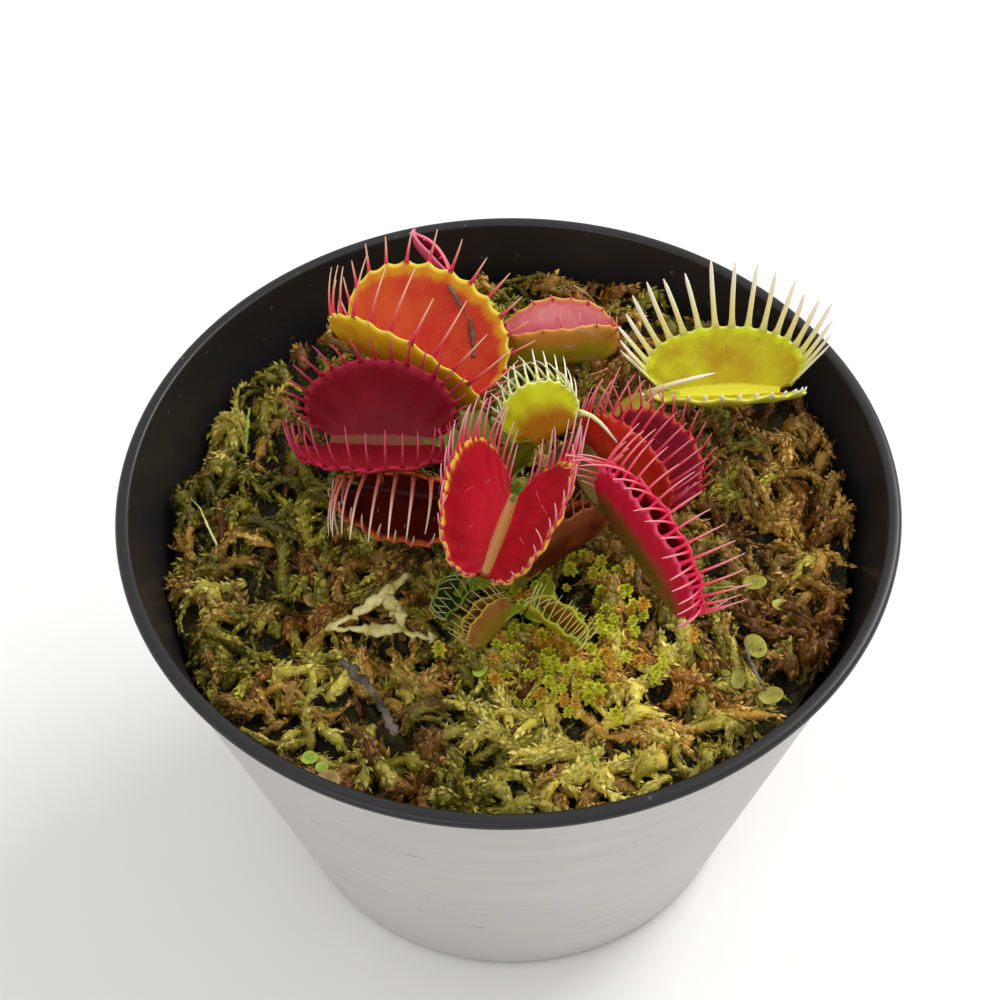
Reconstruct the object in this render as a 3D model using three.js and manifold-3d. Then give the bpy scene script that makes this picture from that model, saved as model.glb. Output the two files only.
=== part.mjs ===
// A young Venus flytrap growing in long-fibre sphagnum in a 90 mm nursery pot.
// Units are millimetres and +Z is up. The origin is the middle of the pot's underside.
// Every leaf is one piece: a winged stalk, a two-lobed trap folded at its midrib, and the
// teeth that stand on the rim of both lobes.
import * as THREE from 'three';
import { mergeVertices } from 'three/addons/utils/BufferGeometryUtils.js';
import Module from 'manifold-3d';

const wasm = await Module();
wasm.setup();

// ---------- driving dimensions ----------

const CLEARANCE = 0.35; // gap kept between neighbouring pieces
const SMALLEST_EDGE = 0.02; // slivers finer than this are smoothed away after a cut or a join

const POT_HEIGHT = 62;
const POT_RIM_RADIUS = 45;
const POT_FOOT_RADIUS = 30;
const POT_WALL = 0.9;
const POT_SIDES = 44;
const LIP_HEIGHT = 1.2;
const LIP_PROUD = 0.7; // how far the lip stands out of the wall
const LIP_ROUND = 0.35;
const FOOT_WIDTH = 2.4;
const FOOT_LIFT = 2.4; // height of the floor above the surface the pot stands on
const FLOOR_THICKNESS = 1.1;
const DRAIN_HOLES = 6;
const DRAIN_RADIUS = 3;
const DRAIN_CIRCLE = 17;
const DRAIN_SIDES = 12;

const MOSS_LEVEL = 52;
const MOSS_RINGS = 14;
const MOSS_SIDES = POT_SIDES;
const QUARTER_RINGS = 0.25; // inside this share of the radius a ring has a quarter of the sides
const HALF_RINGS = 0.55; // and inside this one a half
const MOSS_TILT = 0.035; // the bed rises towards the back
const MOSS_SADDLE = 0.3; // it is lower to the left and right than in front and behind
const MOSS_EDGE_RISE = 3.4; // it banks up against the wall on one side
const MOSS_BANK_SIDE = 0.35; // direction of that side, in radians
const MOSS_EDGE_DROP = 1; // the last of it falls away beside the wall
const MOSS_HOLLOW_DEPTH = 3.2; // it sinks under the rosette
const MOSS_HOLLOW = { x: 1, y: 2, radius: 12 };
const MOSS_WAVES = [ // wavelength, height, direction in radians and start of the lumps
  { length: 31, height: 0.9, angle: 2.4, start: 0 },
  { length: 17, height: 0.9, angle: 4.8, start: 1 },
  { length: 9.5, height: 0.65, angle: 7.2, start: 2 },
  { length: 6.2, height: 0.4, angle: 9.6, start: 3 },
];
const ALONG_START = 1.7; // radians by which each wave starts later than the one before
const ASIDE_START = 0.9;
const ASIDE_STRETCH = 0.8; // the lumps are longer across the wave than along it
const MOSS_SEED = 7;
const MOSS_STRANDS = 34;
const STRAND_CIRCLE = 37; // strands lie within this radius
const STRAND_EYE = 0.12; // share of that circle's area left free in the middle
const STRAND_SPAN = 5; // the shortest strand, and what the longest adds to it
const STRAND_GIRTH = 0.9; // half thickness of the thinnest strand
const STRAND_GROWTH = 0.6; // what the thickest strand adds to it
const STRAND_SWAY = 1.2;
const STRAND_BEND = 1.6; // radians of sway from one ring to the next
const STRAND_CORNERS = [90, 330, 210]; // a strand has three sides
const STRAND_LIFTS = [-1.2, 0.5, 0.7, 0.3, -1.2]; // height over the bed, from end to end
const STAR_TUFTS = 24;
const STAR_RADIUS = 0.9;
const STAR_HEIGHT = 3;
const STAR_SIDES = 4;
const STAR_CUSHION = { x: 8, y: -16.5, spreadX: 7.5, spreadY: 7 };

const CROWN = { x: 1.5, y: 8, top: 52.6, radius: 3.6, depth: 9 };
const OFFSHOOT = { x: 1, y: -4, top: 52.2, radius: 2, depth: 6 };
const CROWN_STEPS = 8;
const CROWN_SIDES = 14;

const LOBE_THICKNESS = 0.7;
const FOLD_HALF_WIDTH = 0.5; // the fold at the midrib is a narrow U
const MIDRIB_SHARE = 0.72; // midrib length over rim length
const RIM_START = 0.03; // the rim runs between these shares of its full sweep
const LOBE_BULGE = 0.08; // how far a lobe bows outward, over its depth
const LOBE_ROWS = [0, 0.55];
const TOOTH_WIDTH = 0.8;
const TOOTH_SHARE = 0.6; // the most of its stretch of rim that a tooth's root takes
const SCALLOP = 0.5; // how deep the rim dips between two teeth
const LEAN_SPREAD = 8; // degrees
const TOOTH_SPREAD = 0.12;
const END_TOOTH = 0.58; // length of the first and last tooth, over the longest
const STALK_STATIONS = 6;
const RISE_REACH = 0.35; // share of its length over which the stalk rises from its crown
const NECK_REACH = 0.3; // share over which it turns into line with the fold
const WIDEST = 1.7; // over 1, the wing is widest beyond the middle of the stalk
const STALK_FOOT = 0.6; // how much wider the stalk is at its foot
const STALK_NECK = 1.5; // width where the stalk meets the trap
const STALK_EDGE = 0.32; // half thickness at the edge of the wing
const STALK_KEEL = 0.85; // depth of the deepest keel under the stalk
const KEEL_SHARE = 0.2; // how much of its width a narrow stalk has as keel
const STALK_CREST = 0.1;
const STALK_SINK = 1.1; // how far the stalk runs on into the fold
const WING_ROUND = 0.75; // under 1, the wing keeps its width over more of the stalk

// One row per leaf. at: middle of the midrib. heading, climb and roll: how the trap is turned,
// in degrees. half: half of the angle between its lobes. length and depth: size of a lobe.
// curl: how far the ends of the rim turn inward. teeth: number of teeth on one lobe. tooth and
// lean: the longest tooth of each lobe and how far it leans over the mouth. far: how much longer
// the teeth get towards the tip. wing: width of the stalk. socket: direction, height and slope
// at which the stalk leaves its crown.
const LEAVES = [
  { name: 'leaf_orange_large', at: [-12.2, 18.6, 61.1], heading: 155, climb: 19, roll: 17, half: 39,
    length: 21.3, depth: 13.4, curl: 0, teeth: 14, tooth: [7.2, 3.8], lean: [36, 14], far: 0, wing: 5,
    crown: CROWN, socket: [135, 51.2, 0.7] },
  { name: 'leaf_crimson_wide', at: [-14.5, 4.7, 64.1], heading: 172, climb: -6, roll: -16, half: 42,
    length: 18.1, depth: 9.9, curl: 0.03, teeth: 18, tooth: [5.2, 3.9], lean: [58, 16], far: 0, wing: 4.4,
    crown: CROWN, socket: [171, 52, 0.7] },
  { name: 'leaf_amber_caged', at: [-11.7, 2.8, 57], heading: 176, climb: 10, roll: -54, half: 26,
    length: 17.6, depth: 8.6, curl: 0.12, teeth: 13, tooth: [4, 8.2], lean: [50, 62], far: 0, wing: 3.4,
    crown: CROWN, socket: [212, 49.6, 0.7] },
  { name: 'leaf_crimson_heart', at: [-0.9, -9.5, 64.4], heading: 255, climb: 8, roll: -6, half: 36,
    length: 19.1, depth: 10.7, curl: -0.04, teeth: 20, tooth: [6.2, 6.2], lean: [26, 26], far: -0.62, wing: 6,
    crown: CROWN, socket: [263, 51, 0.7] },
  { name: 'leaf_scarlet_right', at: [14.4, 1.9, 58.7], heading: 309, climb: 11, roll: -26, half: 21,
    length: 16.5, depth: 9.4, curl: -0.03, teeth: 19, tooth: [3.4, 5.2], lean: [20, 40], far: 0, wing: 3.8,
    crown: CROWN, socket: [345, 49, 0.7] },
  { name: 'leaf_crimson_clasped', at: [14.6, -14.4, 66], heading: 300, climb: -9, roll: -4, half: 3,
    length: 19.7, depth: 9.1, curl: 0.04, teeth: 19, tooth: [6.2, 6.2], lean: [46, 46], far: 0, wing: 3.6,
    crown: CROWN, socket: [22, 52.2, 1.2] },
  { name: 'leaf_lime_large', at: [26.4, 15, 60.2], heading: -5, climb: 7, roll: -4, half: 50,
    length: 19.4, depth: 8.1, curl: 0.06, teeth: 15, tooth: [7.4, 1.8], lean: [18, 30], far: 0, wing: 4.6,
    crown: CROWN, socket: [20, 50.6, 0.7] },
  { name: 'leaf_lime_small', at: [4.9, 4.2, 65.9], heading: 10, climb: 27, roll: -44, half: 6,
    length: 9.3, depth: 6.4, curl: 0.1, teeth: 12, tooth: [2.6, 2.6], lean: [46, 46], far: 2.4, wing: 5.4,
    crown: CROWN, socket: [240, 52, 0.9] },
  { name: 'leaf_pink_rear', at: [7.1, 24.6, 56.7], heading: -2, climb: 10, roll: -2, half: 17,
    length: 15.3, depth: 8.1, curl: 0.2, teeth: 11, tooth: [1.4, 1.4], lean: [30, 30], far: 0, wing: 3.6,
    crown: CROWN, socket: [98, 50, 0.7] },
  { name: 'leaf_brown_folded', at: [6.3, -4.6, 55.1], heading: 35, climb: 6, roll: -10, half: 4,
    length: 13.5, depth: 5.4, curl: 0.05, teeth: 13, tooth: [3.6, 3.6], lean: [12, 12], far: 0, wing: 2.6,
    crown: OFFSHOOT, socket: [246, 51.8, 0.7] },
  { name: 'leaf_rose_bud', at: [-8.5, 34.4, 64], heading: 129, climb: 14, roll: -20, half: 3,
    length: 9.3, depth: 4.4, curl: 0.09, teeth: 8, tooth: [0.9, 0.9], lean: [30, 30], far: 0, wing: 2.4,
    crown: CROWN, socket: [112, 48.6, 0.2] },
  { name: 'leaf_tiny_left', at: [-6.7, -11.5, 54.3], heading: 240, climb: 1, roll: -9, half: 21,
    length: 6.8, depth: 3.4, curl: 0.14, teeth: 9, tooth: [2.6, 2.6], lean: [52, 52], far: 0, wing: 2,
    crown: OFFSHOOT, socket: [213, 50.4, 0.6] },
  { name: 'leaf_tiny_front', at: [-2.1, -18, 58.1], heading: 228, climb: -10, roll: 22, half: 5,
    length: 6.8, depth: 3.8, curl: 0.09, teeth: 10, tooth: [2.4, 2.4], lean: [50, 50], far: 0, wing: 2.3,
    crown: OFFSHOOT, socket: [262, 49.8, 0.3] },
  { name: 'leaf_tiny_right', at: [5.6, -14.9, 54.1], heading: 320, climb: -7, roll: 10, half: 12,
    length: 8, depth: 3.9, curl: 0.09, teeth: 11, tooth: [3, 3], lean: [54, 54], far: 0, wing: 4.2,
    crown: OFFSHOOT, socket: [318, 50.8, 0.2] },
];

// ---------- shared geometry helpers ----------

const radians = THREE.MathUtils.degToRad;
const vector = (x, y, z) => new THREE.Vector3(x, y, z);

function seededRandom(seed) {
  let state = seed;
  return () => {
    state = (state * 1664525 + 1013904223) % 4294967296;
    return state / 4294967296;
  };
}

// A repeatable wobble between -1 and 1 for the numbered member of a numbered group.
function wobble(group, member) {
  const raw = Math.sin(group * 12.9898 + member * 78.233) * 43758.5453;
  return 2 * (raw - Math.floor(raw)) - 1;
}

function closedGeometry(points, triangles) {
  const geometry = new THREE.BufferGeometry();
  geometry.setAttribute('position', new THREE.Float32BufferAttribute(points.flatMap((p) => [p.x, p.y, p.z]), 3));
  geometry.setIndex(triangles.flat());
  return geometry;
}

function toSolid(geometry) {
  const bare = geometry.clone();
  bare.deleteAttribute('normal');
  bare.deleteAttribute('uv');
  const merged = mergeVertices(bare, 1e-4);
  const index = merged.index.array;
  const kept = [];
  for (let i = 0; i < index.length; i += 3) {
    const [a, b, c] = [index[i], index[i + 1], index[i + 2]];
    if (a !== b && b !== c && c !== a) kept.push(a, b, c);
  }
  return new wasm.Manifold(new wasm.Mesh({
    numProp: 3,
    vertProperties: new Float32Array(merged.attributes.position.array),
    triVerts: new Uint32Array(kept),
  }));
}

function toGeometry(solid) {
  const { vertProperties, triVerts } = solid.simplify(SMALLEST_EDGE).getMesh();
  const geometry = new THREE.BufferGeometry();
  geometry.setAttribute('position', new THREE.BufferAttribute(new Float32Array(vertProperties), 3));
  geometry.setIndex(new THREE.BufferAttribute(new Uint32Array(triVerts), 1));
  return geometry;
}

// A closed skin over rings of points that all hold the same number of points.
function skinRings(rings) {
  const sides = rings[0].length;
  const points = rings.flat();
  const triangles = [];
  for (let r = 0; r < rings.length - 1; r += 1) {
    for (let i = 0; i < sides; i += 1) {
      const a = r * sides + i;
      const b = r * sides + (i + 1) % sides;
      triangles.push([a, b + sides, b], [a, a + sides, b + sides]);
    }
  }
  const last = (rings.length - 1) * sides;
  for (let i = 1; i < sides - 1; i += 1) {
    triangles.push([0, i, i + 1], [last, last + i + 1, last + i]);
  }
  return closedGeometry(points, triangles);
}

// ---------- pot ----------

function wallRadius(z) {
  const bodyTop = POT_RIM_RADIUS - LIP_PROUD;
  return POT_FOOT_RADIUS + (bodyTop - POT_FOOT_RADIUS) * z / (POT_HEIGHT - LIP_HEIGHT);
}

function potGeometry() {
  const lipBottom = POT_HEIGHT - LIP_HEIGHT;
  const inner = (z) => wallRadius(z) - POT_WALL;
  const floorTop = FOOT_LIFT + FLOOR_THICKNESS;
  const profile = [
    [0, FOOT_LIFT],
    [POT_FOOT_RADIUS - FOOT_WIDTH, FOOT_LIFT],
    [POT_FOOT_RADIUS - FOOT_WIDTH, 0],
    [POT_FOOT_RADIUS - LIP_ROUND, 0],
    [wallRadius(LIP_ROUND), LIP_ROUND],
    [wallRadius(lipBottom), lipBottom],
    [POT_RIM_RADIUS, lipBottom + LIP_ROUND],
    [POT_RIM_RADIUS, POT_HEIGHT - LIP_ROUND],
    [POT_RIM_RADIUS - LIP_ROUND, POT_HEIGHT],
    [inner(lipBottom) + LIP_ROUND, POT_HEIGHT],
    [inner(lipBottom), POT_HEIGHT - LIP_ROUND],
    [inner(lipBottom), lipBottom],
    [inner(floorTop), floorTop],
    [0, floorTop],
  ].map(([r, z]) => new THREE.Vector2(r, z));
  const lathe = new THREE.LatheGeometry(profile, POT_SIDES);
  lathe.rotateX(Math.PI / 2);
  let solid = toSolid(lathe);
  for (let i = 0; i < DRAIN_HOLES; i += 1) {
    const angle = 2 * Math.PI * i / DRAIN_HOLES;
    const drill = new THREE.CylinderGeometry(DRAIN_RADIUS, DRAIN_RADIUS, 3 * FLOOR_THICKNESS, DRAIN_SIDES);
    drill.rotateX(Math.PI / 2);
    drill.translate(DRAIN_CIRCLE * Math.cos(angle), DRAIN_CIRCLE * Math.sin(angle), floorTop - FLOOR_THICKNESS / 2);
    solid = solid.subtract(toSolid(drill));
  }
  return toGeometry(solid);
}

// ---------- traps ----------

function trapFrame(leaf) {
  const heading = radians(leaf.heading);
  const climb = radians(leaf.climb);
  const roll = radians(leaf.roll);
  const along = vector(Math.cos(heading) * Math.cos(climb), Math.sin(heading) * Math.cos(climb), Math.sin(climb));
  const level = vector(-Math.cos(heading) * Math.sin(climb), -Math.sin(heading) * Math.sin(climb), Math.cos(climb));
  const sideways = along.clone().cross(level);
  const open = level.multiplyScalar(Math.cos(roll)).addScaledVector(sideways, Math.sin(roll));
  return { along, open, across: along.clone().cross(open) };
}

// The point of a lobe at the share t of the way round its rim and v of the way out from the
// midrib. side is 1 or -1. The rim is an ellipse cut off by the midrib.
function lobePoint(leaf, frame, side, t, v) {
  const rise = Math.sqrt(1 - MIDRIB_SHARE ** 2);
  const halfLength = leaf.length / 2;
  const radiusOut = leaf.depth / (1 + rise);
  const dip = Math.asin(rise);
  const sweep = Math.PI + dip - t * (Math.PI + 2 * dip);
  const alongRim = halfLength * Math.cos(sweep);
  const outRim = radiusOut * (rise + Math.sin(sweep));
  const alongRib = MIDRIB_SHARE * halfLength * (2 * t - 1);
  const x = alongRib + (alongRim - alongRib) * v;
  const y = outRim * v;
  const bulge = LOBE_BULGE * leaf.depth * Math.sin(Math.PI * v) * Math.sin(Math.PI * t) ** 0.7;
  const clearOfFold = Math.min(1, 2.5 * y / leaf.depth);
  const inward = leaf.curl * leaf.depth * (x / halfLength) ** 2 * clearOfFold - bulge;
  const half = radians(leaf.half);
  const turned = (forward, sideways) => frame.open.clone().multiplyScalar(forward)
    .addScaledVector(frame.across, sideways);
  const out = turned(Math.cos(half), side * Math.sin(half));
  const facing = turned(Math.sin(half), -side * Math.cos(half));
  return vector(...leaf.at)
    .addScaledVector(frame.along, x)
    .addScaledVector(out, y)
    .addScaledVector(facing, inward)
    .addScaledVector(frame.across, side * FOLD_HALF_WIDTH);
}

function lobeDirections(leaf, frame, side, t, v) {
  const step = 0.01;
  const spot = (dt, dv) => lobePoint(leaf, frame, side, t + dt, v + dv);
  const outward = spot(0, step).sub(spot(0, -step)).normalize();
  const onward = spot(step, 0).sub(spot(-step, 0)).normalize();
  const inward = outward.clone().cross(onward).multiplyScalar(side).normalize();
  if (v < step) inward.add(frame.open).normalize();
  return { outward, inward };
}

// Both lobes as one folded sheet of even thickness, with a tooth drawn out of every stretch of
// the rim. Rows run out from the midrib, and the teeth of the two lobes stand in turn.
function trapGeometry(leaf, order) {
  const frame = trapFrame(leaf);
  const points = [];
  const triangles = [];
  const skin = (side, t, v) => {
    const base = lobePoint(leaf, frame, side, t, v);
    const { inward } = lobeDirections(leaf, frame, side, t, v);
    points.push(base.clone().addScaledVector(inward, LOBE_THICKNESS / 2));
    points.push(base.clone().addScaledVector(inward, -LOBE_THICKNESS / 2));
    return { inner: points.length - 2, outer: points.length - 1 };
  };
  const faces = (a, b, c, flip) => {
    triangles.push(flip ? [a.inner, c.inner, b.inner] : [a.inner, b.inner, c.inner]);
    triangles.push(flip ? [a.outer, b.outer, c.outer] : [a.outer, c.outer, b.outer]);
  };
  const wall = (a, b) => {
    triangles.push([a.inner, b.inner, b.outer], [a.inner, b.outer, a.outer]);
  };

  const lobes = [-1, 1].map((side) => {
    const shift = side < 0 ? 0.5 : 0;
    const share = (k) => {
      const even = (k + shift * Math.sin(Math.PI * k / leaf.teeth)) / leaf.teeth;
      return RIM_START + (1 - 2 * RIM_START) * even;
    };
    const rows = LOBE_ROWS.map((v) => Array.from({ length: leaf.teeth + 1 }, (_, k) => skin(side, share(k), v)));
    const dips = Array.from({ length: leaf.teeth + 1 }, (_, k) => skin(side, share(k), 1 - SCALLOP / leaf.depth));
    return { side, share, rows, dips };
  });

  for (const { side, share, rows, dips } of lobes) {
    const flip = side > 0;
    const lobe = flip ? 1 : 0;
    for (let r = 0; r < rows.length - 1; r += 1) {
      for (let k = 0; k < leaf.teeth; k += 1) {
        faces(rows[r][k], rows[r][k + 1], rows[r + 1][k + 1], flip);
        faces(rows[r][k], rows[r + 1][k + 1], rows[r + 1][k], flip);
      }
    }
    const top = rows[rows.length - 1];
    const rimMiddle = [0.48, 0.52].map((t) => lobePoint(leaf, frame, side, t, 1));
    const rimSpan = rimMiddle[0].distanceTo(rimMiddle[1]) / 0.04; // mm of rim for one whole sweep
    for (let k = 0; k < leaf.teeth; k += 1) {
      const middle = (share(k) + share(k + 1)) / 2;
      const halfRoot = Math.min(TOOTH_WIDTH / 2 / rimSpan, (share(k + 1) - share(k)) * TOOTH_SHARE / 2);
      const before = skin(side, middle - halfRoot, 1);
      const after = skin(side, middle + halfRoot, 1);
      faces(top[k], top[k + 1], after, flip);
      faces(top[k], after, before, flip);
      faces(top[k], before, dips[k], flip);
      faces(top[k + 1], dips[k + 1], after, flip);
      const edge = flip ? (a, b) => wall(b, a) : wall;
      edge(dips[k], before);
      edge(after, dips[k + 1]);

      const { outward, inward } = lobeDirections(leaf, frame, side, middle, 1);
      const lean = radians(leaf.lean[lobe] + LEAN_SPREAD * wobble(order * 2 + side, k));
      const swell = END_TOOTH + (1 - END_TOOTH) * Math.sin(Math.PI * middle);
      const spread = 1 + TOOTH_SPREAD * wobble(order * 2 - side, k);
      const reach = leaf.tooth[lobe] * swell * spread * (1 + leaf.far * middle ** 2);
      const aim = outward.clone().multiplyScalar(Math.cos(lean)).addScaledVector(inward, Math.sin(lean));
      const ring = flip
        ? [before.outer, after.outer, after.inner, before.inner]
        : [before.inner, after.inner, after.outer, before.outer];
      const root = ring.reduce((sum, i) => sum.add(points[i]), vector(0, 0, 0)).multiplyScalar(1 / ring.length);
      points.push(root.clone().addScaledVector(aim, reach));
      const tip = points.length - 1;
      for (let i = 0; i < ring.length; i += 1) {
        const j = (i + 1) % ring.length;
        triangles.push([ring[i], ring[j], tip]);
      }
    }
  }

  const [left, right] = lobes;
  for (let k = 0; k < leaf.teeth; k += 1) {
    faces(left.rows[0][k], right.rows[0][k], right.rows[0][k + 1], false);
    faces(left.rows[0][k], right.rows[0][k + 1], left.rows[0][k + 1], false);
  }
  for (const k of [0, leaf.teeth]) {
    const leftEnd = left.rows.map((row) => row[k]).reverse();
    const rightEnd = right.rows.map((row) => row[k]);
    const path = [left.dips[k], ...leftEnd, ...rightEnd, right.dips[k]];
    for (let i = 0; i < path.length - 1; i += 1) {
      if (k === 0) wall(path[i + 1], path[i]);
      else wall(path[i], path[i + 1]);
    }
  }
  return closedGeometry(points, triangles);
}

// ---------- stalks ----------

function crownRadius(crown, z) {
  const share = THREE.MathUtils.clamp((crown.top - z) / crown.depth, 0, 1);
  return crown.radius * Math.sqrt(Math.max(0, 1 - (1 - 2 * share) ** 2));
}

// The stalk leaves its crown outward and up, and runs into the fold of the trap. extra makes it
// fatter all round, which is the shape of the hole that it stands in.
function stalkGeometry(leaf, extra) {
  const frame = trapFrame(leaf);
  const [direction, height, slope] = leaf.socket;
  const radial = vector(Math.cos(radians(direction)), Math.sin(radians(direction)), 0);
  const start = vector(leaf.crown.x, leaf.crown.y, height)
    .addScaledVector(radial, crownRadius(leaf.crown, height) + CLEARANCE + STALK_KEEL);
  const foldBase = lobePoint(leaf, frame, 1, RIM_START, 0).lerp(lobePoint(leaf, frame, -1, RIM_START, 0), 0.5);
  const end = foldBase.clone().addScaledVector(frame.along, STALK_SINK);
  const reach = start.distanceTo(end);
  const rise = radial.clone().add(vector(0, 0, slope)).normalize();
  const curve = new THREE.CubicBezierCurve3(
    start,
    start.clone().addScaledVector(rise, reach * RISE_REACH),
    end.clone().addScaledVector(frame.along, -reach * NECK_REACH),
    end,
  );
  const flat = vector(0, 0, 1).cross(radial).normalize();
  const firstWidth = flat.dot(frame.across) < 0 ? flat.negate() : flat;
  const rings = [];
  for (let i = 0; i < STALK_STATIONS; i += 1) {
    const u = i / (STALK_STATIONS - 1);
    const tangent = curve.getTangent(u);
    const centre = curve.getPoint(u).addScaledVector(tangent, extra * (2 * u - 1));
    const wide = firstWidth.clone().lerp(frame.across, u);
    wide.addScaledVector(tangent, -wide.dot(tangent)).normalize();
    const up = wide.clone().cross(tangent).normalize();
    const swell = Math.sin(Math.PI * u ** WIDEST) ** WING_ROUND;
    const wing = STALK_NECK + (leaf.wing - STALK_NECK) * swell + STALK_FOOT * (1 - u);
    const halfWidth = wing / 2 + extra;
    const keel = Math.min(STALK_KEEL, STALK_EDGE + KEEL_SHARE * leaf.wing) + extra;
    const edge = STALK_EDGE + extra;
    const crest = edge + STALK_CREST;
    const section = [
      [-halfWidth, -edge],
      [0, -keel],
      [halfWidth, -edge],
      [halfWidth, edge],
      [0, crest],
      [-halfWidth, edge],
    ];
    rings.push(section.map(([x, y]) => centre.clone().addScaledVector(wide, x).addScaledVector(up, y)));
  }
  return skinRings(rings);
}

function leafGeometry(leaf, order) {
  return toGeometry(toSolid(trapGeometry(leaf, order)).add(toSolid(stalkGeometry(leaf, 0))));
}

function crownGeometry(crown, extra) {
  const profile = Array.from({ length: CROWN_STEPS + 1 }, (_, i) => {
    const z = crown.top + extra - (crown.depth + 2 * extra) * i / CROWN_STEPS;
    const share = Math.sin(Math.PI * i / CROWN_STEPS);
    return new THREE.Vector2(share * (crown.radius + extra), z);
  }).reverse();
  const lathe = new THREE.LatheGeometry(profile, CROWN_SIDES);
  lathe.rotateX(Math.PI / 2);
  lathe.translate(crown.x, crown.y, 0);
  return toGeometry(toSolid(lathe));
}

// ---------- moss ----------

function mossHeight(x, y) {
  const radius = Math.hypot(x, y);
  const angle = Math.atan2(y, x);
  const edge = radius / (wallRadius(MOSS_LEVEL) - POT_WALL);
  const bank = MOSS_EDGE_RISE * (1 + Math.cos(angle - MOSS_BANK_SIDE)) / 2;
  let height = MOSS_LEVEL + MOSS_TILT * y - MOSS_SADDLE * Math.cos(2 * angle) * edge ** 2 + bank * edge ** 4;
  for (const wave of MOSS_WAVES) {
    const turns = 2 * Math.PI / wave.length;
    const along = x * Math.cos(wave.angle) + y * Math.sin(wave.angle);
    const aside = y * Math.cos(wave.angle) - x * Math.sin(wave.angle);
    height += wave.height * Math.sin(turns * along + ALONG_START * wave.start)
      * Math.cos(ASIDE_STRETCH * turns * aside + ASIDE_START * wave.start);
  }
  const fromHollow = Math.hypot(x - MOSS_HOLLOW.x, y - MOSS_HOLLOW.y) / MOSS_HOLLOW.radius;
  return height - MOSS_EDGE_DROP * edge ** 10 - MOSS_HOLLOW_DEPTH * Math.exp(-(fromHollow ** 2));
}

function mossBed() {
  const floor = FOOT_LIFT + FLOOR_THICKNESS + CLEARANCE;
  const inner = (z) => wallRadius(z) - POT_WALL - CLEARANCE;
  const points = [vector(0, 0, mossHeight(0, 0))];
  const triangles = [];
  let previous = null;
  for (let ring = 1; ring <= MOSS_RINGS; ring += 1) {
    const share = ring / MOSS_RINGS;
    let count = MOSS_SIDES;
    if (share <= HALF_RINGS) count = MOSS_SIDES / 2;
    if (share <= QUARTER_RINGS) count = MOSS_SIDES / 4;
    const first = points.length;
    for (let i = 0; i < count; i += 1) {
      const angle = 2 * Math.PI * i / count;
      let radius = share * inner(MOSS_LEVEL - 1);
      if (ring === MOSS_RINGS) radius = inner(mossHeight(radius * Math.cos(angle), radius * Math.sin(angle)));
      const x = radius * Math.cos(angle);
      const y = radius * Math.sin(angle);
      points.push(vector(x, y, mossHeight(x, y)));
    }
    const at = (i) => first + (i % count);
    if (!previous) {
      for (let i = 0; i < count; i += 1) triangles.push([0, at(i), at(i + 1)]);
    } else {
      const ratio = count / previous.count;
      const inside = (i) => previous.first + (i % previous.count);
      for (let i = 0; i < previous.count; i += 1) {
        const outside = i * ratio;
        if (ratio === 1) {
          triangles.push([inside(i), at(outside), at(outside + 1)], [inside(i), at(outside + 1), inside(i + 1)]);
        } else {
          triangles.push([inside(i), at(outside), at(outside + 1)]);
          triangles.push([inside(i), at(outside + 1), inside(i + 1)]);
          triangles.push([inside(i + 1), at(outside + 1), at(outside + 2)]);
        }
      }
    }
    previous = { first, count };
  }
  const bottom = points.length;
  for (let i = 0; i < MOSS_SIDES; i += 1) {
    const angle = 2 * Math.PI * i / MOSS_SIDES;
    points.push(vector(inner(floor) * Math.cos(angle), inner(floor) * Math.sin(angle), floor));
  }
  points.push(vector(0, 0, floor));
  const middle = points.length - 1;
  for (let i = 0; i < MOSS_SIDES; i += 1) {
    const j = (i + 1) % MOSS_SIDES;
    const [over, overNext] = [previous.first + i, previous.first + j];
    triangles.push([over, bottom + i, bottom + j], [over, bottom + j, overNext]);
    triangles.push([middle, bottom + j, bottom + i]);
  }
  return toSolid(closedGeometry(points, triangles));
}

// A limp strand of moss that lifts out of the bed, arches over and dives back in.
function mossStrand(random) {
  const angle = 2 * Math.PI * random();
  const radius = STRAND_CIRCLE * Math.sqrt(STRAND_EYE + (1 - STRAND_EYE) * random());
  const [x, y] = [radius * Math.cos(angle), radius * Math.sin(angle)];
  const turn = 2 * Math.PI * random();
  const span = STRAND_SPAN * (1 + random());
  const thickness = STRAND_GIRTH + STRAND_GROWTH * random();
  const sway = STRAND_SWAY * (random() - 0.5);
  const rings = STRAND_LIFTS.map((lift, i) => {
    const along = (i / (STRAND_LIFTS.length - 1) - 0.5) * span;
    const aside = sway * Math.sin(i * STRAND_BEND);
    const px = x + along * Math.cos(turn) - aside * Math.sin(turn);
    const py = y + along * Math.sin(turn) + aside * Math.cos(turn);
    const pz = mossHeight(px, py) + lift;
    return STRAND_CORNERS.map((corner) => {
      const offset = thickness * Math.cos(radians(corner));
      const lifted = pz + thickness * Math.sin(radians(corner));
      return vector(px - offset * Math.sin(turn), py + offset * Math.cos(turn), lifted);
    });
  });
  return toSolid(skinRings(rings));
}

// A star-shaped tuft of upright moss, as a small pointed cone sunk in the bed.
function starTuft(random) {
  const angle = 2 * Math.PI * random();
  const spread = Math.sqrt(random());
  const x = STAR_CUSHION.x + STAR_CUSHION.spreadX * spread * Math.cos(angle);
  const y = STAR_CUSHION.y + STAR_CUSHION.spreadY * spread * Math.sin(angle);
  const tuft = new THREE.ConeGeometry(STAR_RADIUS * (1 + random() / 3), STAR_HEIGHT, STAR_SIDES);
  tuft.rotateX(-Math.PI / 2);
  tuft.rotateZ(2 * Math.PI * random());
  tuft.translate(x, y, mossHeight(x, y));
  return toSolid(tuft);
}

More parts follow.
